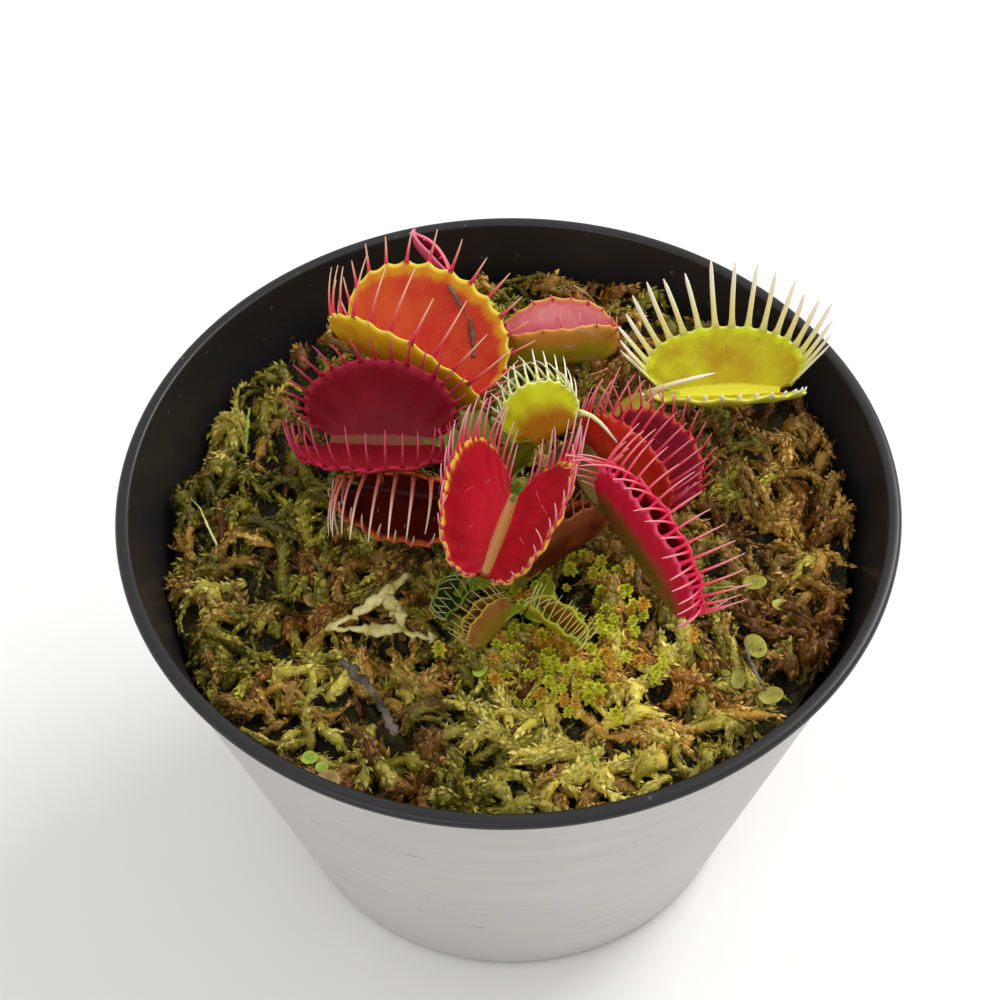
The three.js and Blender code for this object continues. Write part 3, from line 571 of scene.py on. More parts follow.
def lay_clump(beds, random, x, y, reach):
    """A handful of strands thrown over one another, each with a few short branches."""
    kind = clump_kind(random, x, y)
    # Painted shade: clumps on the right at the front and on the left are darkened. Otherwise each clump's
    # brightness is random, and raised in a patch at the front.
    shaded = 0.25 * patch_of(x, y, (30, -24), 9) + 0.2 * patch_of(x, y, (-28, 4), 13)
    bright = 0.2 + 0.45 * random.uniform() + 0.6 * patch_of(x, y, (14, -26), 11) - shaded
    spread = random.uniform(1.2, 2.8)
    lift = random.uniform(-0.3, 1.9)
    for _ in range(random.integers(4, 9)):
        turn = random.uniform(0, 2 * math.pi)
        start = np.array([x + random.normal(0, spread), y + random.normal(0, spread), 0.0])
        start[2] = float(moss_height(start[0], start[1])) + lift - 1.2
        away = math.hypot(start[0], start[1])
        if away > reach - 1:
            start[:2] *= (reach - 1) / away
        girth = random.uniform(1.0, 2.3)
        span = random.uniform(4, 10.5)
        path = limp_path(random, start, turn, span, random.uniform(0.8, 2.2), random.uniform(0.4, 2.2))
        tint = float(np.clip(bright + random.normal(0, 0.16), 0, 1))
        chosen = kind if random.uniform() < 0.8 else clump_kind(random, x, y)
        twigs = [(path, girth)]
        for _ in range(random.integers(0, 3)):
            knot = path[random.integers(2, 7)]
            side = turn + random.choice([-1, 1]) * random.uniform(0.5, 1.2)
            twig = limp_path(random, knot, side, random.uniform(2, 4.2), 0.4, random.uniform(0.2, 1.4), 6)
            twigs.append((twig, girth * random.uniform(0.5, 0.7)))
        for twig, thick in twigs:
            keep_inside(twig, reach + 1.6 - thick / 2)
            grow_strand(beds[chosen], random, twig, thick, tint)


def lay_sphagnum():
    random = np.random.default_rng(MOSS_SEED)
    beds = {kind: Growth("tint", "tip") for kind in MOSS_COLOURS}
    reach = pot_wall_radius(MOSS_LEVEL) - POT_WALL - 2.2
    centres = []
    while len(centres) < CLUMPS:
        radius = reach * math.sqrt(random.uniform(0.01, 1))
        turn = random.uniform(0, 2 * math.pi)
        x, y = radius * math.cos(turn), radius * math.sin(turn)
        bare = max(patch_of(x, y, (3, -4), 9.5), patch_of(x, y, (9, -9), 5))
        cushion = patch_of(x, y, (7, -15), 7)
        crowded = any(math.hypot(x - u, y - v) < CLUMP_SPACING for u, v in centres)
        if crowded or random.uniform() < 0.95 * max(bare, cushion):
            continue
        centres.append((x, y))
        lay_clump(beds, random, x, y, reach)
    for _ in range(LOOSE_STRANDS):
        turn, radius = random.uniform(0, 2 * math.pi), reach * math.sqrt(random.uniform(0, 1))
        start = np.array([radius * math.cos(turn), radius * math.sin(turn), 0.0])
        start[2] = float(moss_height(start[0], start[1])) - 1.5
        strand = limp_path(random, start, random.uniform(0, 2 * math.pi), random.uniform(4, 9), 0.9, 0.4)
        keep_inside(strand, reach)
        bed = beds["sphagnum_olive" if random.uniform() < 0.6 else "sphagnum_brown"]
        # Painted shade: the loose strands lie low in the gaps, and a low tint darkens them there.
        grow_strand(bed, random, strand, random.uniform(0.9, 1.5), random.uniform(0, 0.3))
    for kind, bed in beds.items():
        finish_piece(bed.write(kind), wet_moss_tissue(kind), "moss", "sphagnum_fill")


lay_sphagnum()


# ---------------------------------------------------------------- crowns
# Two short white-green bulbs made of the packed, fleshy feet of the leaves. They sit in the fill with
# only their tops showing, and every stalk leaves one of them.

CROWN = {"x": 1.5, "y": 8.0, "top": 52.6, "radius": 3.6, "depth": 9.0}
OFFSHOOT = {"x": 1.0, "y": -4.0, "top": 52.2, "radius": 2.0, "depth": 6.0}


def crown_body(name, crown, scales):
    """A bulb whose surface is drawn into overlapping rounded scales."""
    growth = Growth("tip")
    sides, rings = 90, 40
    share = np.linspace(0.004, 0.996, rings)[:, None]
    turn = np.linspace(0, 2 * math.pi, sides, endpoint=False)[None, :]
    ridge = np.abs(np.cos(scales / 2 * turn + 3.2 * share)) ** 0.6
    radius = crown["radius"] * np.sin(math.pi * share) * (0.9 + 0.09 * ridge)
    z = crown["top"] - crown["depth"] * (1 - share) + 0 * turn
    points = np.stack([crown["x"] + radius * np.cos(turn), crown["y"] + radius * np.sin(turn), z], -1)
    growth.put(points, band_faces(rings, sides), tip=np.repeat(share[:, 0], sides))
    made = growth.write(name)
    shape = bmesh.new()
    shape.from_mesh(made.data)
    bmesh.ops.holes_fill(shape, edges=[edge for edge in shape.edges if edge.is_boundary])
    shape.to_mesh(made.data)
    shape.free()
    made.data.shade_smooth()
    return made


def crown_flesh():
    material, nodes = new_material("pale_leaf_bases")
    tone = nodes.mix(nodes.step(nodes.noise(300.0), 0.35, 0.65), (0.15, 0.16, 0.01, 1), (0.28, 0.28, 0.03, 1))
    tone = nodes.mix(nodes.step(nodes.attribute("tip"), 0.95, 0.6), tone, (0.3, 0.09, 0.06, 1))
    veins = nodes.noise(1200.0, 2.0, 0.5, nodes.stretched(1, 1, 0.15))
    surface(nodes, tone, nodes.total(0.35, (veins, 0.2)), veins, bump=0.3)
    return material


flesh = crown_flesh()
finish_piece(crown_body("main_bulb", CROWN, 7), flesh, "crown", "main_crown")
finish_piece(crown_body("offshoot_bulb", OFFSHOOT, 5), flesh, "crown", "offshoot_crown")


# ---------------------------------------------------------------- leaves
# Each leaf is one living blade: a winged stalk, then a trap of two lobes folded at the midrib, and a
# comb of stiff teeth on both rims. Three bristles on each lobe spring the trap.

POT_CLEARANCE = 0.35
LOBE_THICKNESS = 0.62
FOLD_HALF_WIDTH = 0.5
MIDRIB_SHARE = 0.72
RIM_START = 0.03
LOBE_BULGE = 0.08
STALK_NECK = 1.5
STALK_EDGE = 0.32
STALK_KEEL = 0.85
TRAP_COLOURS = ("Fold", "Face", "Flush and sheen", "Margin", "Rim", "Back", "Back near rim", "Tooth root", "Tooth tip",
                "Stalk")
USUAL = {"crown": CROWN, "far": 0, "fan": 0, "blunt": 0.8, "stray": (), "widest": 1.7, "neck": STALK_NECK,
         "twist": 0, "back_edge": 0.63, "margin_start": 0.84, "fold_width": 0.05}


def leaf_row(name, slot, **given):
    return {**USUAL, "name": "leaf_" + name, "slot": "leaf_" + slot, **given}


# at: middle of the midrib. heading, climb and roll: how the trap is turned, in degrees. half: half of the
# angle between its lobes. length and depth: size of a lobe. curl: how far the ends of the rim turn inward.
# teeth: number on one lobe. tooth and lean: the longest tooth of each lobe and its lean over the mouth.
# far: how much longer teeth get towards the tip. fan: how far they spread along the midrib. blunt: under 1,
# they stay thick for longer. stray: lobe, number, length and direction of one long tooth. wing, neck, widest
# and twist: the stalk's width, its width at the trap, where it is widest, and its turn. socket: direction,
# height and slope at its crown. skin: TRAP_COLOURS. girth: thickness of the teeth. scallop: depth of the
# rim's waves. margin_start, back_edge and fold_width: where one colour passes into the next.
LEAVES = [
    leaf_row("orange_large", "amber", at=(-12.2, 18.6, 61.1), heading=155, climb=19, roll=17, half=39,
             length=21.3, depth=13.4, curl=0, teeth=16, tooth=(7.2, 3.8), lean=(36, 14), wing=5,
             socket=(135, 51.2, 0.7), skin=("#b83420", "#c02818", "#cc5424", "#d09210", "#ecd84c", "#cc7a08",
             "#dcae1a", "#d83a50", "#f6c8a8", "#6d8a2a"), girth=1.0, scallop=0.6, margin_start=0.86,
             fold_width=0.04),
    leaf_row("crimson_wide", "crimson", at=(-14.5, 4.7, 64.1), heading=172, climb=-6, roll=-16, half=42,
             length=18.1, depth=9.9, curl=0.03, teeth=21, tooth=(5.2, 3.9), lean=(58, 16), wing=4.4,
             socket=(171, 52, 0.7), skin=("#8a4a34", "#740614", "#84081a", "#98142e", "#a01a34", "#a03c20",
             "#b01c34", "#9c1234", "#c8506e", "#6d7a2a"), girth=0.9, scallop=0.4, margin_start=0.9,
             fold_width=0.04),
    leaf_row("amber_caged", "amber", at=(-11.7, 2.8, 57), heading=176, climb=10, roll=-54, half=26,
             length=17.6, depth=8.6, curl=0.12, teeth=19, tooth=(4, 8.2), lean=(50, 62), wing=3.4,
             socket=(212, 49.6, 0.7), skin=("#4a120e", "#440c0a", "#681c0e", "#b8521c", "#cc5c24", "#b04c1c",
             "#c06a20", "#dc7864", "#f2cdb8", "#7a7a26"), girth=1.3, scallop=0.75, margin_start=0.88,
             fold_width=0.04),
    leaf_row("crimson_heart", "crimson", at=(-0.9, -9.5, 64.4), heading=255, climb=8, roll=-6, half=36,
             length=19.1, depth=10.7, curl=-0.04, teeth=26, tooth=(6.2, 6.2), lean=(26, 26), far=-0.62,
             wing=6, socket=(263, 51, 0.7), skin=("#a8733a", "#b40a22", "#940818", "#cc9a24", "#e4ac3c",
             "#a82a1a", "#c89420", "#e03a5c", "#f4b4bc", "#55701e"), girth=0.8, scallop=0.3, widest=3.2,
             neck=3.6, margin_start=0.95, fold_width=0.045),
    # On this leaf the flush is a painted purple sheen on the inside of the lobes.
    leaf_row("scarlet_right", "crimson", at=(14.4, 1.9, 58.7), heading=309, climb=11, roll=-26, half=21,
             length=16.5, depth=9.4, curl=-0.03, teeth=22, tooth=(3.4, 5.2), lean=(20, 40), wing=3.8,
             socket=(345, 49, 0.7), skin=("#9a2c1c", "#84122a", "#a82442", "#a4203a", "#d04c38", "#e04a1c",
             "#cc261c", "#cc2446", "#ee8490", "#5a3c18"), girth=0.9, scallop=0.4, margin_start=0.93),
    leaf_row("crimson_clasped", "crimson", at=(14.6, -14.4, 66), heading=300, climb=-9, roll=-4, half=3,
             length=19.7, depth=9.1, curl=0.04, teeth=24, tooth=(6.2, 6.2), lean=(46, 46), wing=3.6,
             socket=(22, 52.2, 1.2), skin=("#7a1018", "#900a26", "#b0122e", "#cc1a3e", "#e8486a", "#5e4610",
             "#b81030", "#e62252", "#f29aa0", "#5e4a18"), girth=0.95, scallop=0.45, back_edge=0.58,
             margin_start=0.82, fold_width=0.04),
    leaf_row("lime_large", "lime", at=(26.4, 15, 60.2), heading=-5, climb=7, roll=-4, half=50, length=19.4,
             depth=8.1, curl=0.06, teeth=21, tooth=(7.6, 0.5), lean=(18, 30), wing=4.6,
             socket=(20, 50.6, 0.7), skin=("#e2dc3c", "#c8c818", "#b08a08", "#ccd614", "#e2e468", "#a8b826",
             "#c8d030", "#e4dc90", "#fcf4e4", "#b8b034"), girth=1.75, scallop=0.35, blunt=0.3,
             stray=(1, 4, 9.5, (0.9, -0.1, 0.42)), fan=0.3, fold_width=0.12),
    leaf_row("lime_small", "lime", at=(4.9, 4.2, 65.9), heading=10, climb=27, roll=-44, half=6, length=9.3,
             depth=6.4, curl=0.1, teeth=16, tooth=(2.6, 2.6), lean=(46, 46), far=2.4, wing=6.5,
             socket=(240, 52, 0.9), skin=("#7c9424", "#b8b41c", "#a88422", "#d0d840", "#eef09c", "#ac6c04",
             "#c8cc06", "#e8f0a0", "#fbfce8", "#74761a"), girth=1.1, scallop=0.3,
             stray=(-1, 15, 6.5, (0.62, -0.45, -0.64)), back_edge=0.5, neck=4.2, twist=75, fold_width=0.12),
    # On this leaf the pale pink face and the whitish flush are painted sheen over a deep crimson inside.
    leaf_row("pink_rear", "crimson", at=(7.1, 24.6, 56.7), heading=-2, climb=10, roll=-2, half=17,
             length=15.3, depth=8.1, curl=0.2, teeth=14, tooth=(1.4, 1.4), lean=(30, 30), wing=3.6,
             socket=(98, 50, 0.7), skin=("#b81c3c", "#de7088", "#f4b8b8", "#e08078", "#e8a860", "#b8b024",
             "#d89c3c", "#d04464", "#ec949c", "#8a9a34"), girth=0.9, scallop=0.3, margin_start=0.9),
    leaf_row("brown_folded", "amber", at=(6.3, -4.6, 55.1), heading=35, climb=6, roll=-10, half=4,
             length=13.5, depth=5.4, curl=0.05, teeth=20, tooth=(3.6, 3.6), lean=(12, 12), wing=2.6,
             crown=OFFSHOOT, socket=(246, 51.8, 0.7), skin=("#6a2010", "#842614", "#aa5228", "#b4602c",
             "#b0683a", "#5c2010", "#8a4424", "#b0604a", "#cc8c6c", "#7a7a26"), girth=0.7, scallop=0.2),
    leaf_row("rose_bud", "crimson", at=(-8.5, 34.4, 64), heading=129, climb=14, roll=-20, half=0.5,
             length=9.3, depth=4.4, curl=0.2, teeth=6, tooth=(0.25, 0.25), lean=(30, 30), wing=2.4,
             socket=(112, 48.6, 0.2), skin=("#d8305c", "#e04c78", "#e8507a", "#e45c80", "#f08aa0", "#d83c64",
             "#e65a80", "#e04870", "#f0a0ac", "#b0702e"), girth=0.7, scallop=0.15),
    leaf_row("tiny_left", "amber", at=(-6.7, -11.5, 54.3), heading=240, climb=1, roll=-9, half=21,
             length=6.8, depth=3.4, curl=0.14, teeth=13, tooth=(2.6, 2.6), lean=(52, 52), wing=2,
             crown=OFFSHOOT, socket=(213, 50.4, 0.6), skin=("#2c3a14", "#34441a", "#4a5a20", "#5c7028",
             "#7c9034", "#34481c", "#4c6424", "#8a984c", "#c4c890", "#98a828"), girth=0.7, scallop=0.2,
             margin_start=0.8),
    leaf_row("tiny_front", "amber", at=(-2.1, -18, 58.1), heading=228, climb=-10, roll=22, half=5,
             length=6.8, depth=3.8, curl=0.09, teeth=14, tooth=(2.4, 2.4), lean=(50, 50), wing=2.3,
             crown=OFFSHOOT, socket=(262, 49.8, 0.3), skin=("#9a4018", "#9a5a24", "#80501e", "#a88a2c",
             "#c0a83c", "#8e7424", "#96602a", "#b0924a", "#ccb878", "#8aa428"), girth=0.6, scallop=0.15,
             margin_start=0.8),
    leaf_row("tiny_right", "amber", at=(5.6, -14.9, 54.1), heading=320, climb=-7, roll=10, half=12, length=8,
             depth=3.9, curl=0.09, teeth=16, tooth=(3, 3), lean=(54, 54), wing=4.2, crown=OFFSHOOT,
             socket=(318, 50.8, 0.2), skin=("#9a8a22", "#a87e24", "#b06420", "#a8a82c", "#ccc848", "#a09a26",
             "#b0a62c", "#c4c25c", "#e4e494", "#a6b82c"), girth=0.7, scallop=0.2, margin_start=0.8),
]


def wobble(group, member):
    """A repeatable number between -1 and 1 for the numbered member of a numbered group."""
    raw = math.sin(group * 12.9898 + member * 78.233) * 43758.5453
    return 2 * (raw - math.floor(raw)) - 1


def trap_frame(leaf):
    """Unit vectors along the midrib, into the mouth, and across from lobe to lobe."""
    heading, climb, roll = (math.radians(leaf[key]) for key in ("heading", "climb", "roll"))
    ahead = np.array([math.cos(heading), math.sin(heading), 0.0])
    along = ahead * math.cos(climb) + np.array([0.0, 0.0, math.sin(climb)])
    level = -ahead * math.sin(climb) + np.array([0.0, 0.0, math.cos(climb)])
    mouth = level * math.cos(roll) + np.cross(along, level) * math.sin(roll)
    return along, mouth, np.cross(along, mouth)


def lobe_point(leaf, axes, side, t, v):
    """Points of a lobe at the share t of the way round its rim and v of the way out from the midrib."""
    along, mouth, across = axes
    rise = math.sqrt(1 - MIDRIB_SHARE ** 2)
    half_length = leaf["length"] / 2
    radius_out = leaf["depth"] / (1 + rise)
    dip = math.asin(rise)
    sweep = math.pi + dip - t * (math.pi + 2 * dip)
    along_rim = half_length * np.cos(sweep)
    out_rim = radius_out * (rise + np.sin(sweep))
    along_rib = MIDRIB_SHARE * half_length * (2 * t - 1)
    x = along_rib + (along_rim - along_rib) * v
    y = out_rim * v
    bulge = LOBE_BULGE * leaf["depth"] * np.sin(math.pi * v) * np.abs(np.sin(math.pi * t)) ** 0.7
    clear = np.minimum(1, 2.5 * y / leaf["depth"])
    inward = leaf["curl"] * leaf["depth"] * (x / half_length) ** 2 * clear - bulge
    half = math.radians(leaf["half"])
    out = mouth * math.cos(half) + across * side * math.sin(half)
    facing = mouth * math.sin(half) - across * side * math.cos(half)
    shifts = x[..., None] * along + y[..., None] * out + inward[..., None] * facing
    return np.array(leaf["at"]) + shifts + across * side * FOLD_HALF_WIDTH


def lobe_directions(leaf, axes, side, t, v):
    """Unit vectors out towards the rim, on along it, and from the skin into the mouth."""
    step = 0.01
    out = unit(lobe_point(leaf, axes, side, t, v + step) - lobe_point(leaf, axes, side, t, v - step))
    onward = unit(lobe_point(leaf, axes, side, t + step, v) - lobe_point(leaf, axes, side, t - step, v))
    return out, onward, unit(np.cross(out, onward) * side)


def rim_share(leaf, side, place):
    """The rim share at a place counted in teeth. The teeth of one lobe stand opposite the other's gaps."""
    count = leaf["teeth"]
    shift = 0.5 if side < 0 else 0.0
    return RIM_START + (1 - 2 * RIM_START) * (place + shift * np.sin(np.pi * place / count)) / count


def smooth_rise(value, low, high):
    share = np.clip((value - low) / (high - low), 0, 1)
    return share * share * (3 - 2 * share)


def facing_out(points, faces):
    """The faces, turned over if the closed body they make is inside out."""
    volume = 0.0
    for face in faces:
        for k in range(1, len(face) - 1):
            volume += np.dot(points[face[0]], np.cross(points[face[k]], points[face[k + 1]]))
    return faces if volume > 0 else [tuple(reversed(face)) for face in faces]


def grow_lobes(growth, leaf, axes):
    """Both lobes and the fold between them, as one sheet with a scalloped rounded rim."""
    steps = 6
    rows = np.concatenate([np.linspace(0, 0.84, 11), [0.89, 0.93, 0.965, 0.99, 1.0]])
    place = np.linspace(0, leaf["teeth"], leaf["teeth"] * steps + 1)
    skins = {}
    for side in (-1, 1):
        t = np.repeat(rim_share(leaf, side, place)[:, None], len(rows), 1)
        dip = np.abs(np.cos(np.pi * place))[:, None] * smooth_rise(rows, 0.72, 1.0)[None, :]
        v = rows[None, :] * (1 - leaf["scallop"] / leaf["depth"] * dip)
        base = lobe_point(leaf, axes, side, t, v)
        inward = lobe_directions(leaf, axes, side, t, np.maximum(v, 0.011))[2]
        lean_in = np.exp(-(v / 0.05) ** 2)[..., None]
        inward = unit(inward * (1 - 0.7 * lean_in) + axes[1] * lean_in)
        wave = 0.16 * np.sin(2.3 * place + side + leaf["heading"])[:, None] * rows[None, :] ** 2
        base = base + inward * wave[..., None]
        skins[side] = (base, inward, v)
    fold = (skins[-1][0][:, :1] + skins[1][0][:, :1]) / 2 - axes[1] * 0.22
    base = np.concatenate([skins[-1][0][:, ::-1], fold, skins[1][0]], 1)
    inward = np.concatenate([skins[-1][1][:, ::-1], np.broadcast_to(axes[1], fold.shape), skins[1][1]], 1)
    across = np.concatenate([rows[::-1], [0], rows])
    taper = np.sqrt(np.clip(1 - smooth_rise(across, 0.86, 1.02) ** 2, 0.03, 1))
    half = LOBE_THICKNESS / 2 * taper * min(1.0, 0.36 + leaf["depth"] / 14)
    keel = 0.32 * np.exp(-(across / 0.07) ** 2)
    inner = base + inward * half[None, :, None]
    outer = base - inward * (half + keel)[None, :, None]
    columns, width = inner.shape[:2]
    loop = np.concatenate([inner, outer[:, ::-1]], 1)
    ring = 2 * width
    faces = band_faces(columns, ring)
    last = (columns - 1) * ring
    for i in range(width - 1):
        faces.append((i, ring - 1 - i, ring - 2 - i, i + 1))
        faces.append((last + i, last + i + 1, last + ring - 2 - i, last + ring - 1 - i))
    points = loop.reshape(-1, 3)
    ray = np.repeat(np.sin(np.pi * place)[:, None] ** 2, ring, 1)
    growth.put(points, facing_out(points, faces),
               across=np.tile(np.concatenate([across, across[::-1]]), columns),
               along=np.repeat(place / leaf["teeth"], ring),
               inner=np.tile(np.concatenate([np.ones(width), np.zeros(width)]), columns),
               spine=0.0, stalk=0.0, ray=ray.ravel())


def grow_spike(growth, path, wide, widths, depths, layers):
    """A closed tapering spike along a path, with an oval section."""
    sides = 6
    ahead = unit(np.gradient(path, axis=0))
    wide = unit(wide - ahead * np.sum(wide * ahead, -1, keepdims=True))
    flat = np.cross(ahead, wide)
    turns = 2 * np.pi * np.arange(sides) / sides
    oval = (wide[:, None] * (np.cos(turns)[None, :] * widths[:, None] / 2)[..., None]
            + flat[:, None] * (np.sin(turns)[None, :] * depths[:, None] / 2)[..., None])
    points = (path[:, None] + oval).reshape(-1, 3)
    points = np.vstack([points, path[:1], path[-1:] + ahead[-1:] * widths[-1]])
    rings = len(path)
    faces = band_faces(rings, sides) + fan_faces(rings, sides, rings * sides, rings * sides + 1)
    spine = layers["spine"]
    spine = np.concatenate([np.repeat(spine, sides), [spine[0], spine[-1]]])
    growth.put(points, facing_out(points, faces), **{**layers, "spine": spine})


def grow_teeth(growth, leaf, axes, order):
    """Stiff teeth that carry on from the points of the scalloped rim and bend in over the mouth."""
    along = axes[0]
    stations = 8
    share = np.linspace(0, 1, stations)
    fineness = min(1.0, 0.45 + leaf["depth"] / 18)
    sunk = 0.55
    for side in (-1, 1):
        lobe = int(side > 0)
        for k in range(leaf["teeth"]):
            middle = np.array([float(rim_share(leaf, side, k + 0.5))])
            root = lobe_point(leaf, axes, side, middle, np.array([1.0]))[0]
            out, onward, inward = (d[0] for d in lobe_directions(leaf, axes, side, middle, np.array([0.985])))
            out = unit(out - along * np.dot(out, along) * leaf["fan"])
            lean = leaf["lean"][lobe] + 8 * wobble(order * 2 + side, k)
            reach = leaf["tooth"][lobe] * (0.58 + 0.42 * math.sin(math.pi * middle[0]))
            reach *= (1 + leaf["far"] * middle[0] ** 2) * (1 + 0.12 * wobble(order * 2 - side, k))
            leans = np.radians(lean * (0.62 + 0.62 * share))
            sway = 0.10 * wobble(order + 40 + side, k)
            steps = (out[None, :] * np.cos(leans)[:, None] + inward[None, :] * np.sin(leans)[:, None]
                     + onward[None, :] * sway * share[:, None])
            bulk = fineness
            if leaf["stray"][:2] == (side, k):
                bulk = 1.7 * fineness
                reach, away = leaf["stray"][2:]
                steps = out[None, :] * (1 - share[:, None]) ** 4 + np.array(away)[None, :]
            run = np.vstack([np.zeros(3), np.cumsum(unit(steps[:-1]), 0)])
            path = root - out * sunk + run * (reach + sunk) / (stations - 1)
            flare = np.exp(-(share / 0.09) ** 2)
            taper = (1 - share) ** leaf["blunt"]
            widths = bulk * (leaf["girth"] * (0.10 + 0.34 * taper) + 0.42 * flare)
            depths = bulk * (0.09 + 0.26 * taper + 0.12 * flare)
            layers = {"across": 1.0, "along": (k + 0.5) / leaf["teeth"], "inner": 1.0, "stalk": 0.0,
                      "ray": 1.0, "spine": np.maximum(share, 0.02)}
            grow_spike(growth, path, np.broadcast_to(onward, path.shape), widths, depths, layers)


def grow_triggers(growth, leaf, axes):
    """Three fine bristles on the face of each lobe, in a triangle."""
    share = np.linspace(0, 1, 6)
    for side in (-1, 1):
        for place, height in ((0.36, 0.42), (0.5, 0.6), (0.64, 0.42)):
            t, v = np.array([place]), np.array([height])
            root = lobe_point(leaf, axes, side, t, v)[0]
            out, onward, inward = (d[0] for d in lobe_directions(leaf, axes, side, t, v))
            reach = 0.16 * leaf["depth"]
            way = unit(inward + out * 0.25)
            path = root + way * (share * reach)[:, None] + out * (0.12 * reach * share ** 2)[:, None]
            widths = 0.03 + 0.13 * (1 - share)
            layers = {"across": 0.5, "along": place, "inner": 1.0, "stalk": 0.0, "ray": 0.0,
                      "spine": 0.1 + 0.5 * share}
            grow_spike(growth, path, np.broadcast_to(onward, path.shape), widths, widths, layers)


def bezier(corners, u):
    a, b, c, d = corners
    u = u[:, None]
    return a * (1 - u) ** 3 + 3 * b * u * (1 - u) ** 2 + 3 * c * u * u * (1 - u) + d * u ** 3


def grow_stalk(growth, leaf, axes):
    """The winged stalk: a flat blade with a keel, rooted beside its crown and run into the fold."""
    along, _, across = axes
    direction, height, slope = leaf["socket"]
    crown = leaf["crown"]
    radial = np.array([math.cos(math.radians(direction)), math.sin(math.radians(direction)), 0.0])
    depth_share = min(max((crown["top"] - height) / crown["depth"], 0), 1)
    bulge = crown["radius"] * math.sqrt(max(0, 1 - (1 - 2 * depth_share) ** 2))
    stand_off = bulge + POT_CLEARANCE + STALK_KEEL
    start = np.array([crown["x"], crown["y"], height]) + radial * stand_off
    t, v = np.array([RIM_START]), np.array([0.0])
    fold = (lobe_point(leaf, axes, 1, t, v)[0] + lobe_point(leaf, axes, -1, t, v)[0]) / 2
    end = fold + along * 1.1
    reach = np.linalg.norm(end - start)
    rise = unit(radial + np.array([0, 0, slope]))
    corners = (start, start + rise * reach * 0.35, end - along * reach * 0.3, end)
    u = np.linspace(0, 1, 34)
    spots = bezier(corners, u)
    ahead = unit(np.gradient(spots, axis=0))
    first = np.cross(np.array([0, 0, 1.0]), radial)
    if np.dot(first, across) < 0:
        first = -first
    wide = first[None, :] * (1 - u[:, None]) + across[None, :] * u[:, None]
    wide = unit(wide - ahead * np.sum(wide * ahead, -1, keepdims=True))
    twist = math.radians(leaf["twist"]) * np.sin(math.pi * u[:, None])
    wide = wide * np.cos(twist) + np.cross(wide, ahead) * np.sin(twist)
    up = np.cross(wide, ahead)
    swell = np.sin(np.pi * u ** leaf["widest"]) ** 0.75
    neck = STALK_NECK + (leaf["neck"] - STALK_NECK) * u ** 3
    width = neck + (leaf["wing"] - neck) * swell + 0.6 * (1 - u)
    frill = 1 + 0.05 * swell * np.sin(19 * u + leaf["heading"])
    half_width = width / 2 * frill
    top = np.linspace(-1, 1, 11)
    bottom = np.linspace(0.86, -0.86, 9)
    section = np.concatenate([top, bottom])
    keel_depth = min(STALK_KEEL, STALK_EDGE + 0.2 * leaf["wing"]) - 0.2
    thin = 0.10 + 0.16 * (1 - np.abs(section) ** 2)
    lift = 0.10 * section ** 2
    on_top = np.arange(len(section)) < len(top)
    heights = np.where(on_top, thin, -thin) - np.where(on_top, 0, keel_depth * np.exp(-(section / 0.3) ** 2))
    x = section[None, :] * half_width[:, None]
    y = heights[None, :] + lift[None, :] * half_width[:, None]
    points = spots[:, None] + wide[:, None] * x[..., None] + up[:, None] * y[..., None]
    ring = len(section)
    faces = band_faces(len(u), ring) + cap_faces(len(u), ring)
    points = points.reshape(-1, 3)
    growth.put(points, facing_out(points, faces), across=np.tile(np.abs(section), len(u)),
               along=np.repeat(u, ring), inner=0.0, spine=0.0, stalk=1.0, ray=0.0)


